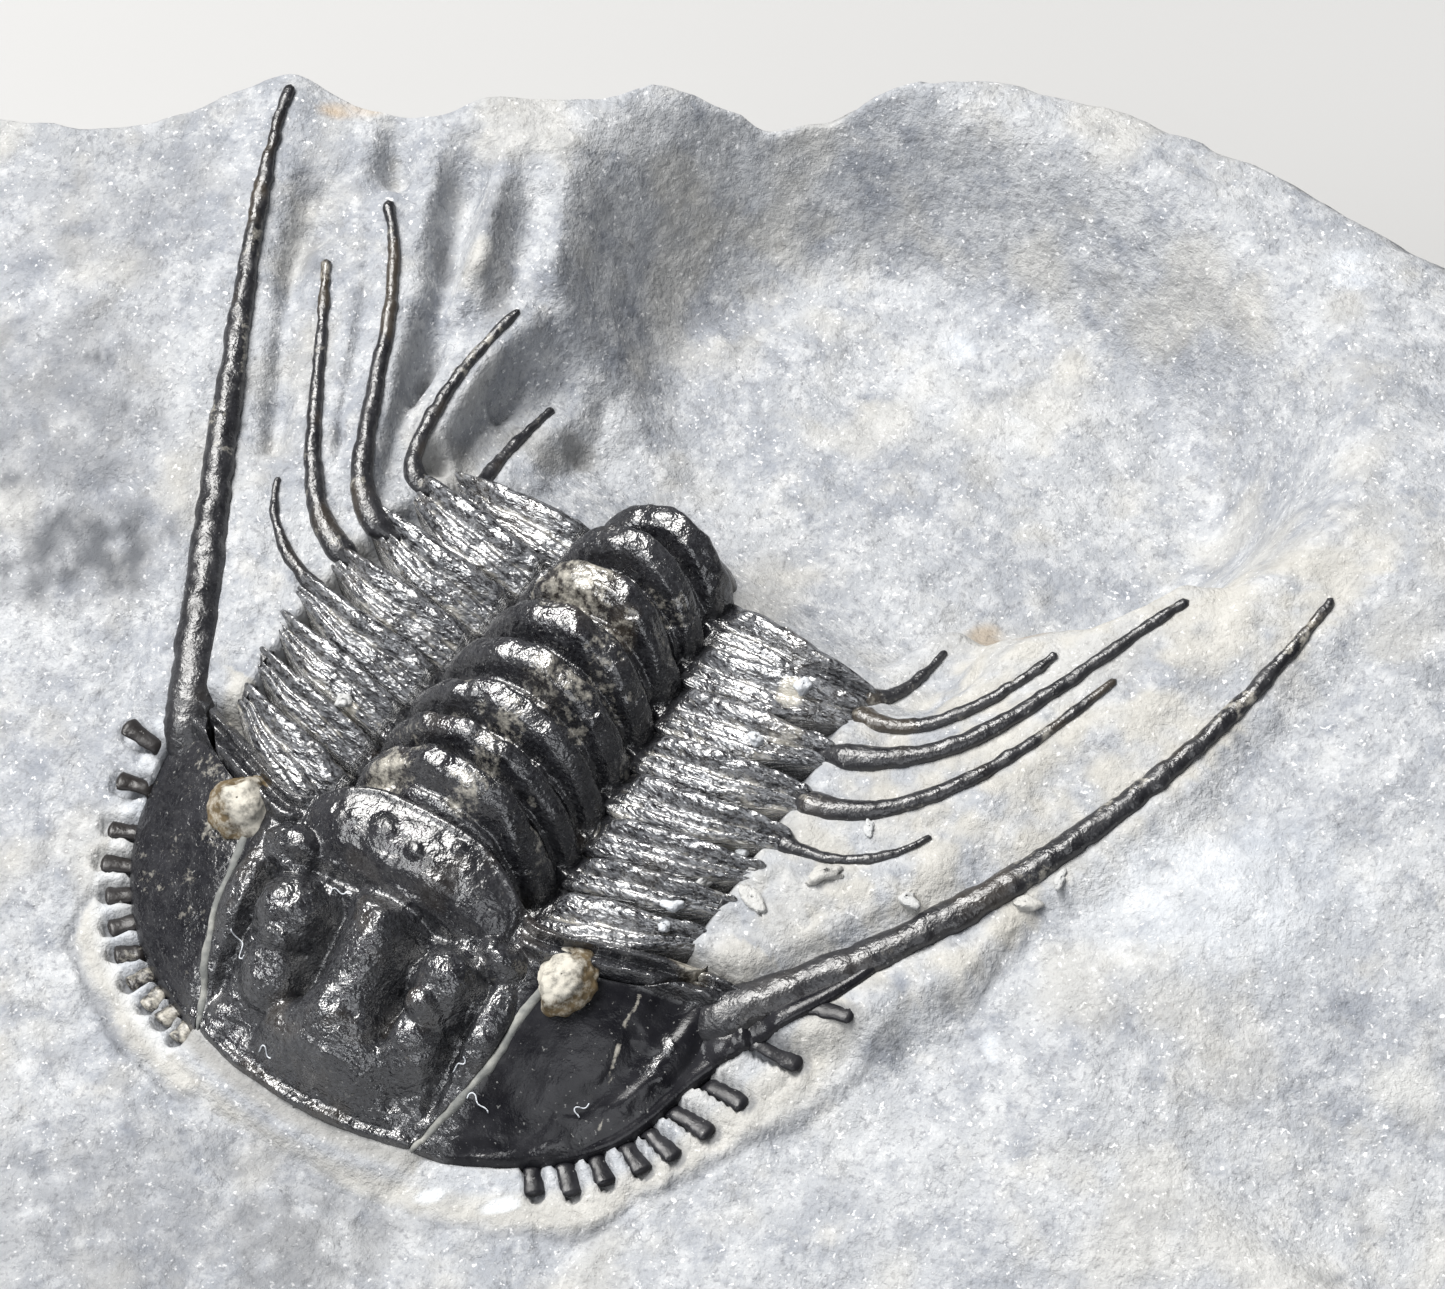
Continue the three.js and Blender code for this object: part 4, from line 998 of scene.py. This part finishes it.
# The thorax: the way from a segment's front to its rear as a share, and the rise there
RING_RISE = [(0, -1.3), (0.08, -1.1), (0.2, -0.95), (0.32, -1.0), (0.42, -0.5), (0.52, -0.12), (0.7, 0.05),
             (0.9, 0.12), (0.97, 0.04), (1, -0.15)]
FLANK_RISE = [(0, -0.22), (0.08, -0.03), (0.16, 0.03), (0.22, -0.1), (0.3, 0.02), (0.38, 0.07), (0.45, -0.08),
              (0.5, -0.16), (0.58, 0.08), (0.69, 0.3), (0.81, 0.34), (0.92, 0.16), (1, -0.3)]
RING_BULGE = [(0, 0.0), (0.2, 0.25), (0.3, 0.2), (0.5, 0.75), (0.75, 1.0), (1, 0.95)]


def out_on_flank(index, x):
    """0 on the ring, then the share of the way from the ring's end to the flank's tip."""
    (half, _, _), _, (tip_x, _, _) = SEGMENTS[index]
    return np.maximum(np.abs(x) - half, 0) / (tip_x - half)


def rear_edge(index, x):
    (half, _, _), (rear, rear_foot), (_, tip_y, _) = SEGMENTS[index]
    side = np.abs(x)
    ring = mix(rear, rear_foot, np.minimum(side / half, 1) ** 2)
    return np.where(side < half, ring, mix(rear_foot, tip_y, out_on_flank(index, x) ** 1.6))


def segment_plan(index):
    """A segment's grid in plan: X of its columns, Y of its points, and each row's share from the front."""
    (half, _, _), _, (tip_x, _, _) = SEGMENTS[index]
    right_half = np.r_[half * np.sin(np.linspace(0, np.pi / 2, 66)), np.linspace(half, tip_x, 81)[1:]]
    x = np.r_[-right_half[:0:-1], right_half][None]
    side = np.abs(x)
    front = 0.03 + (head_back_y(x) if index == 0 else rear_edge(index - 1, x))
    rear = rear_edge(index, x) + 0.09 * rough(flat(x, 0 * x + index), 0.7, 106) * (side < half)
    near_tip = smooth(0.8, 1, (side - half) / (tip_x - half) * 0.43 + 0.57)
    front = mix(front, rear, TIP_TAPER * near_tip)
    share = steps(36)[:, None]
    return x, mix(front, rear, share), share


def ring_height(index, x, share):
    """The arched ring, with a slit at each side between it and the ring before it."""
    (half, foot_z, top_z), _, _ = SEGMENTS[index]
    side = np.abs(x)
    reach = half * mix(0.84, 1.0, through(RING_BULGE, share))
    arch = np.maximum(1 - (side / reach) ** 2.3, 0) ** 0.6
    slit = between(0.62, 1.02, 0.08, side / half) * fade(0.02, 0.3, share)
    return mix(foot_z - 0.1, top_z + through(RING_RISE, share), arch) - 0.5 * slit


def flank_height(index, x, ridges):
    (_, foot_z, _), _, (_, _, tip_z) = SEGMENTS[index]
    out = out_on_flank(index, x)
    swell = 0.55 * np.sin(np.pi * np.minimum(out, 1)) ** 0.8
    z = mix(foot_z - 0.1, tip_z, out) + swell + ridges * smooth(0, 0.15, out)
    return z - 0.5 * smooth(0.93, 1, out) ** 2


def segment_part(index):
    x, y, share = segment_plan(index)
    waved = share + 0.05 * rough(flat(x + 0 * y, 0 * x + 0.3 * y), 1.6, 109 + index)
    ridges = through(FLANK_RISE, np.clip(waved, 0, 1))
    on_ring = np.abs(x) < SEGMENTS[index][0][0]
    z = np.where(on_ring, ring_height(index, x, share), flank_height(index, x, ridges))
    top = np.stack([x + 0 * y, y, z], -1)
    on_flank = smooth(0, 0.1, out_on_flank(index, x)) + 0 * y
    chipped = smooth(0.25, 0.4, rough(top, 1.6, 107)) * (1 - on_flank)
    knobs, own = grains(top * (0.6, 1, 0), 0.42, 113)
    top[..., 2] += 0.12 * knobs * (own > 0.6) * on_flank * smooth(-0.05, 0.15, ridges)
    top[..., 2] += shell_grain(top * (0.5, 1, 1), 0.4) + mix(0.12, 0.035, on_flank) * rough(top, 1.0, 101)
    top[..., 2] -= 0.12 * chipped
    points, faces = sheet(top)
    low = np.clip(0.02 - ridges, 0, 0.2) / 0.2 * on_flank
    return points, faces, segment_marks(points, *map(walled, (on_flank, low, chipped)))


PALE_PATCHES_AND_HIGHLIGHTS = [  # centre in X and Y, reach, how pale, how rusty
    # The pale spots on the rings' tops, from (0.7, -0.6) to (1.2, 7.9), are partly broken shell and partly
    # painted highlight.
    (-2.4, -0.9, 0.9, 0.55, 0.1), (0.7, -0.6, 0.9, 0.4, 0.0), (0.5, 0.9, 0.8, 0.35, 0.0),
    (0.3, 2.4, 0.8, 0.4, 0.0), (0.6, 4.4, 1.0, 0.35, 0.05), (1.6, 4.8, 0.8, 0.4, 0.0),
    (-0.8, 8.4, 1.6, 0.5, 0.12), (1.2, 7.9, 0.7, 0.3, 0.15), (-5.7, 1.6, 0.35, 1.0, 0.0),
    (6.9, 9.8, 0.6, 0.9, 0.0), (7.6, 8.2, 0.9, 0.35, 0.15), (10.4, 8.5, 0.5, 0.2, 0.6),
]


def segment_marks(points, on_flank, low, chipped):
    """Dust in the hollows of the flanks, broken places on the ring, and the named pale patches, which on the
    rings' tops are partly painted highlight.
    """
    x, y, _ = points.T
    dust = on_flank * (0.1 + 0.3 * low) * smooth(-0.9, 0.5, rough(points, 1.5, 141)) + 0.25 * chipped
    rust = 0.1 * smooth(0.4, 0.9, rough(points, 1.7, 143))
    for place_x, place_y, reach, pale, rusty in PALE_PATCHES_AND_HIGHLIGHTS:
        there = oval(x, y, (place_x, place_y), (reach, reach), 0.7)
        dust, rust = highest(dust, pale * there), highest(rust, rusty * there)
    return four_marks(dust, rust, 0.55 + 0.45 * on_flank)


def spine_part(index, side):
    line = evenly(bezier(PLEURAL_SPINES[index][side], 160), 110)
    return spine_rod(line, PLEURAL_RADII[index], PLEURAL_TAPER, flare=0.3, sides=16, lumps=0.05,
                     seed=120 + index, flatness=0.85)


def pygidium_part():
    across, along = np.linspace(-1, 1, 121)[None], steps(40)[:, None]
    x = TAIL_HALF_WIDTH * across * (1 - 0.25 * along)
    front = rear_edge(len(SEGMENTS) - 1, x) + 0.1
    y = front + TAIL_LENGTH * along * np.sqrt(np.maximum(1 - 0.85 * across * across, 0))
    plate = mix(0.4, -0.9, along) - 0.5 * across * across
    axis = np.sqrt(np.maximum(1 - (x / 1.7) ** 2, 0)) * (1 - along ** 1.5)
    top = np.stack([x, y, plate + 1.5 * axis * (1 - 0.1 * np.cos(6 * np.pi * along))], -1)
    top[..., 2] += shell_grain(top, 0.7)
    return sheet(top)


# Loose matter
CHIPS = [  # place, size, warmth
    ((8.85, 3.88, 1.1), (0.34, 0.3, 0.3), 0.1), ((8.41, 2.16, 1.1), (0.5, 0.26, 0.2), 0.6),
    ((10.19, 2.36, 1.3), (0.7, 0.28, 0.2), 0.7), ((11.94, 4.15, 1.85), (0.75, 0.34, 0.28), 0.8),
    ((8.1, 0.75, 1.2), (0.2, 0.42, 0.22), 0.1), ((8.3, -0.1, 1.05), (0.24, 0.24, 0.2), 0.1),
    ((7.19, 10.2, 2.26), (0.4, 0.3, 0.3), 0.1), ((7.03, 7.46, 2.15), (0.3, 0.26, 0.2), 0.1),
    ((-5.97, 1.57, 1.35), (0.3, 0.3, 0.2), 0.6), ((12.2, 6.5, 2.05), (0.4, 0.2, 0.15), 0.5),
    ((18.15, 6.82, 1.9), (0.55, 0.3, 0.2), 0.8), ((18.76, 8.05, 2.3), (0.4, 0.22, 0.2), 0.6),
    ((14.67, 4.91, 1.72), (0.5, 0.3, 0.15), 0.6),
]
THREADS = [  # place on the head, length, heading and curl of each fibre of lint
    ((-4.7, -6.6), 1.4, -1.2, 1.0), ((-1.4, -3.7), 0.9, 2.8, 1.6), ((-1.9, -9.7), 0.8, 0.6, -1.5),
    ((6.3, -7.8), 1.2, 1.9, 2.2), ((4.6, -7.2), 0.8, 0.3, 1.5), ((9.0, -6.4), 0.9, 2.3, -1.8),
]


def chip_parts():
    """Loose grains of calcite that the preparation left on the shell and by the spines."""
    whole, faces = ball(12, 18, 1.5, -1.5)
    for number, (place, size, warmth) in enumerate(CHIPS):
        cosine, sine = np.cos(number * 1.3), np.sin(number * 1.3)
        local = 0.85 * whole * size * (1 + 0.55 * rough(whole, 0.9, 160 + number))[..., None]
        x, y, z = np.moveaxis(local, -1, 0)
        local = np.stack([x * cosine - y * sine, x * sine + y * cosine, z], -1)
        yield local + place + (0, 0, 0.04), faces, (warmth, 0.15, 0, 0.6 - 0.5 * warmth)


def thread_parts():
    """Fine pale fibres that lie on the head."""
    share = steps(30)
    for (x, y), length, heading, curl in THREADS:
        angle = heading + curl * share + 0.9 * np.sin(8 * share)
        plan = (x, y) + np.cumsum(rays(angle), axis=0) * length / len(share)
        line = head_point(*plan.T, head_height(*plan.T) + 0.07 + 0.06 * np.sin(6 * share))
        yield *tube(line, 0.024 + 0 * share, sides=6), (0.3, 0, 0, 0.9)


def suture_parts():
    """The pale mineral that fills the two sutures."""
    for side in (1, -1):
        line = smooth_line(SUTURE, 160)[3:100]
        x, y = side * line[:, 0], line[:, 1]
        points = head_point(x, y, head_height(x, y) - 0.1)
        share = steps(len(line))
        radius = mix(0.15, 0.2, share) + 0.03 * noise(points, 0.45, 131)
        radius = radius * (0.45 + 0.55 * smooth(0, 0.12, share))
        yield tube(points, round_ends(radius, points), sides=12, lumps=0.05, seed=132)


# Materials
def feed(tree, socket, value):
    """Links a socket to another node's output, or sets the socket's own value."""
    if isinstance(value, bpy.types.NodeSocket):
        tree.links.new(value, socket)
    else:
        socket.default_value = value


def node(tree, kind, inputs=None, **settings):
    made = tree.nodes.new(kind)
    for name, value in settings.items():
        setattr(made, name, value)
    for name, value in (inputs or {}).items():
        feed(tree, made.inputs[name], value)
    return made


class Paint:
    """Short ways to build one material's nodes."""

    def __init__(self, name):
        self.material = bpy.data.materials.new(name)
        self.material.use_nodes = True
        self.tree = self.material.node_tree
        self.shader = self.tree.nodes["Principled BSDF"]
        self.place = node(self.tree, "ShaderNodeTexCoord").outputs["Object"]
        marks = node(self.tree, "ShaderNodeAttribute", attribute_name="marks")
        split = node(self.tree, "ShaderNodeSeparateColor", {"Color": marks.outputs["Color"]})
        self.marks = [*(split.outputs[k] for k in range(3)), marks.outputs["Alpha"]]

    def noise(self, size, detail=3.0, roughness=0.55, shift=0.0, contrast=None):
        """Noise with lumps of `size` millimetres, from 0 to 1."""
        place = self.place
        if shift:
            place = node(self.tree, "ShaderNodeVectorMath", {0: place, 1: (shift, 0, shift)}).outputs[0]
        out = node(self.tree, "ShaderNodeTexNoise", {
            "Vector": place, "Scale": 1 / (size * MM), "Detail": detail, "Roughness": roughness,
        }).outputs["Fac"]
        return self.ramp(out, *contrast) if contrast else out

    def ramp(self, value, low, high):
        return node(self.tree, "ShaderNodeMapRange", {
            "Value": value, "From Min": low, "From Max": high}).outputs["Result"]

    def math(self, operation, a, b=0.0):
        return node(self.tree, "ShaderNodeMath", {0: a, 1: b}, operation=operation).outputs[0]

    def times(self, a, b):
        return self.math("MULTIPLY", a, b)

    def plus(self, a, b):
        return self.math("ADD", a, b)

    def mix(self, share, a, b):
        """Colour a turned into colour b by share; a fixed colour is three numbers."""
        a, b = ((*colour, 1) if isinstance(colour, tuple) else colour for colour in (a, b))
        return node(self.tree, "ShaderNodeMix", {0: share, 6: a, 7: b}, data_type="RGBA").outputs[2]

    def over(self, colour, share, strength, tint):
        """The colour with a tint laid over it by share times strength."""
        return self.mix(self.times(share, strength), colour, tint)

    def set(self, name, value):
        feed(self.tree, self.shader.inputs[name], value)

    def bump(self, height, distance, normal=None):
        inputs = {"Height": height, "Distance": distance * MM, "Strength": 1.0}
        if normal is not None:
            inputs["Normal"] = normal
        return node(self.tree, "ShaderNodeBump", inputs).outputs["Normal"]


def limestone_material():
    """Bluish grey limestone with white grains and painted glints; the marks lay warm, dark, rusty and bright
    places over it, among them painted shade and painted highlights.
    """
    paint = Paint("limestone")
    warm, dark, rust, bright = paint.marks
    colour = paint.mix(paint.noise(5, 2, contrast=(0.36, 0.64)), (0.235, 0.248, 0.272), (0.335, 0.345, 0.36))
    white = paint.noise(0.9, 6, 0.7, contrast=(0.46, 0.68))
    colour = paint.over(colour, white, 0.65, (0.49, 0.496, 0.505))
    blue = paint.noise(1.4, 6, 0.68, 0.05, (0.52, 0.72))
    colour = paint.over(colour, blue, 0.85, (0.15, 0.165, 0.195))
    off_vein = paint.math("ABSOLUTE", paint.math("SUBTRACT", paint.noise(2.2, 6, 0.6, 0.11), 0.5))
    veins = paint.times(paint.ramp(off_vein, 0.014, 0.0), paint.noise(1.2, shift=0.13, contrast=(0.45, 0.6)))
    colour = paint.over(colour, veins, 0.6, (0.14, 0.15, 0.165))
    cream = paint.noise(2.6, 5, shift=0.09, contrast=(0.56, 0.75))
    colour = paint.over(colour, cream, 0.35, (0.42, 0.395, 0.34))
    specks = paint.noise(0.25, 3, shift=0.03, contrast=(0.56, 0.68))
    colour = paint.over(colour, specks, 0.55, (0.15, 0.155, 0.17))
    # White grains of the rock, partly painted glints of its crystals.
    white_grains_and_painted_glints = paint.noise(0.2, 2, shift=0.07, contrast=(0.64, 0.72))
    colour = paint.over(colour, white_grains_and_painted_glints, 0.6, (0.85, 0.85, 0.86))
    for share, tint in ((warm, (0.41, 0.388, 0.335)), (dark, (0.075, 0.08, 0.09)),
                        (rust, (0.36, 0.24, 0.12)), (bright, (0.57, 0.60, 0.64))):
        colour = paint.mix(share, colour, tint)
    paint.set("Base Color", colour)
    paint.set("Roughness", 0.8)
    fine = paint.bump(paint.noise(0.13, 3, 0.7), 0.05)
    middle = paint.bump(paint.noise(0.5, 4, 0.65, 0.01), 0.14, fine)
    paint.set("Normal", paint.bump(paint.noise(1.7, 3, 0.6, 0.02), 0.2, middle))
    return paint.material


def drawn_out_place(paint, glitter):
    """Places squeezed along X where the shell glitters most, which draws its noise out along the flanks."""
    squeeze = paint.times(paint.ramp(glitter, 0.8, 1.0), 0.55)
    along_x = paint.math("SUBTRACT", 1.0, squeeze)
    scale = node(paint.tree, "ShaderNodeCombineXYZ", {"X": along_x, "Y": 1.0, "Z": 1.0})
    return node(paint.tree, "ShaderNodeVectorMath", {0: paint.place, 1: scale.outputs[0]},
                operation="MULTIPLY").outputs[0]


def shell_material():
    """Black shell with a painted silvery sheen where it glitters, and pale, rusty or dull where the marks say
    so.
    """
    paint = Paint("shell")
    pale, rust, glitter, dull = paint.marks
    paint.place = drawn_out_place(paint, glitter)
    colour = paint.mix(paint.noise(1.5, contrast=(0.4, 0.7)), (0.006, 0.006, 0.008), (0.019, 0.019, 0.022))
    # Painted sheen: where the shell glitters, its base colour is lifted to a silvery grey in flecks, most of
    # all on the flanks, standing for glints and sheen.
    painted_glint_flecks = paint.noise(0.14, 3, 0.7, contrast=(0.42, 0.64))
    colour = paint.over(colour, paint.ramp(glitter, 0.2, 0.85), painted_glint_flecks, (0.045, 0.047, 0.052))
    painted_sheen = paint.times(paint.ramp(glitter, 0.88, 1.0), painted_glint_flecks)
    colour = paint.over(colour, painted_sheen, 0.5, (0.26, 0.27, 0.29))
    lint = paint.noise(0.16, 2, 0.6, 0.06, (0.68, 0.74))
    colour = paint.over(colour, lint, 0.5, (0.35, 0.35, 0.34))
    colour = paint.mix(rust, colour, (0.13, 0.095, 0.05))
    patchy = paint.noise(0.35, 4, 0.7, 0.04, (0.35, 0.65))
    worn = paint.math("SUBTRACT", paint.plus(paint.times(pale, 2.0), patchy), 1.0)
    colour = paint.mix(paint.ramp(worn, 0.0, 1.0), colour, (0.42, 0.40, 0.35))
    paint.set("Base Color", colour)
    uneven = paint.noise(0.5, 4, shift=0.02, contrast=(0.3, 0.7))
    gloss = paint.plus(paint.times(uneven, 0.2), 0.14)
    paint.set("Roughness", paint.plus(gloss, paint.times(dull, 0.4)))
    paint.set("Specular IOR Level", paint.plus(paint.times(glitter, 1.5), 0.2))
    grain = paint.times(paint.noise(0.11, 1), paint.plus(glitter, 0.15))
    waves = paint.times(paint.noise(0.4, 3, 0.5, 0.08), glitter)
    paint.set("Normal", paint.bump(grain, 0.04, paint.bump(waves, 0.16)))
    return paint.material


def filling_material():
    paint = Paint("suture_filling")
    colour = paint.mix(paint.noise(0.8, contrast=(0.4, 0.65)), (0.13, 0.135, 0.13), (0.27, 0.27, 0.25))
    paint.set("Base Color", colour)
    paint.set("Roughness", 0.8)
    paint.set("Normal", paint.bump(paint.noise(0.15, 3), 0.03))
    return paint.material


LIMESTONE, FILLING, SHELL = limestone_material(), filling_material(), shell_material()


# Putting it together
def build_rock():
    build("rock", LIMESTONE, ["matrix"], [rock_part()])
    build("suture_fillings", FILLING, [], suture_parts())
    build("loose_grains", LIMESTONE, [], [*chip_parts(), *thread_parts()])


def build_head():
    build("head_middle", SHELL, ["cranidium"], [cranidium_part()])
    for side, word in ((1, "left"), (-1, "right")):
        parts = [cheek_part(side), eye_part(side), genal_part(side)]
        if side > 0:
            parts.append(web_part())
        parts += denticle_parts(side)
        build(f"cheek_{word}", SHELL, [f"free_cheek_{word}"], parts)


def build_thorax():
    for index in range(len(SEGMENTS)):
        parts = [segment_part(index), spine_part(index, 1), spine_part(index, -1)]
        build(f"segment_{index + 1}", SHELL, [f"thoracic_segment_{index + 1}"], parts)
    build("tail_shield", SHELL, ["pygidium"], [pygidium_part()])


# The studio, in metres, and the camera
FLOOR_HALF, FLOOR_GREY = 2.0, 0.36
SKY_COLOUR, SKY_STRENGTH = (0.93, 0.95, 1.0), 0.1
LIGHTS = {  # place, size, power, colour
    "key": ((-0.31, 0.02, 0.57), 0.42, 9.0, (1.0, 0.985, 0.96)),
    "fill": ((0.35, -0.45, 0.4), 0.5, 1.4, (0.95, 0.97, 1.0)),
    "front": ((-0.25, -0.42, 0.46), 0.3, 1.9, (0.98, 0.99, 1.0)),
}
SENSOR_WIDTH, CLIP_START = 36.0, 0.01


def area_light(name, place, size, power, colour):
    light = bpy.data.lights.new(name, "AREA")
    light.shape, light.size, light.energy, light.color = "DISK", size, power, colour
    lamp = bpy.data.objects.new(name, light)
    lamp.location = place
    lamp.rotation_euler = (-Vector(place)).to_track_quat("-Z", "Y").to_euler()
    bpy.context.scene.collection.objects.link(lamp)


def lay_floor():
    material = bpy.data.materials.new("floor")
    material.use_nodes = True
    shader = material.node_tree.nodes["Principled BSDF"]
    shader.inputs["Base Color"].default_value = (FLOOR_GREY, FLOOR_GREY, FLOOR_GREY, 1)
    mesh = bpy.data.meshes.new("floor")
    corners = [(FLOOR_HALF * x, FLOOR_HALF * y, 0) for x, y in ((-1, -1), (1, -1), (1, 1), (-1, 1))]
    mesh.from_pydata(corners, [], [(0, 1, 2, 3)])
    mesh.materials.append(material)
    floor = bpy.data.objects.new("floor", mesh)
    bpy.context.scene.collection.objects.link(floor)


def studio():
    lay_floor()
    world = bpy.data.worlds.new("studio")
    world.use_nodes = True
    sky = world.node_tree.nodes["Background"]
    sky.inputs["Color"].default_value = (*SKY_COLOUR, 1)
    sky.inputs["Strength"].default_value = SKY_STRENGTH
    bpy.context.scene.world = world
    for name, light in LIGHTS.items():
        area_light(name, *light)
    bpy.context.scene.view_settings.view_transform = "Standard"


def camera():
    right = Vector((np.cos(VIEW_TURN), np.sin(VIEW_TURN), 0))
    back = Vector((np.sin(VIEW_TURN) * np.cos(VIEW_RISE), -np.cos(VIEW_TURN) * np.cos(VIEW_RISE),
                   np.sin(VIEW_RISE)))
    up = back.cross(right)
    data = bpy.data.cameras.new("camera")
    data.sensor_width = SENSOR_WIDTH
    data.lens = FOCAL_PIXELS / PHOTO_WIDTH * data.sensor_width
    data.clip_start = CLIP_START
    made = bpy.data.objects.new("camera", data)
    turn = Matrix((right, up, back)).transposed().to_4x4()
    made.matrix_world = Matrix.Translation(Vector((VIEW_PLACE + ORIGIN) * MM)) @ turn
    bpy.context.scene.collection.objects.link(made)
    bpy.context.scene.camera = made


build_rock()
build_head()
build_thorax()
studio()
camera()
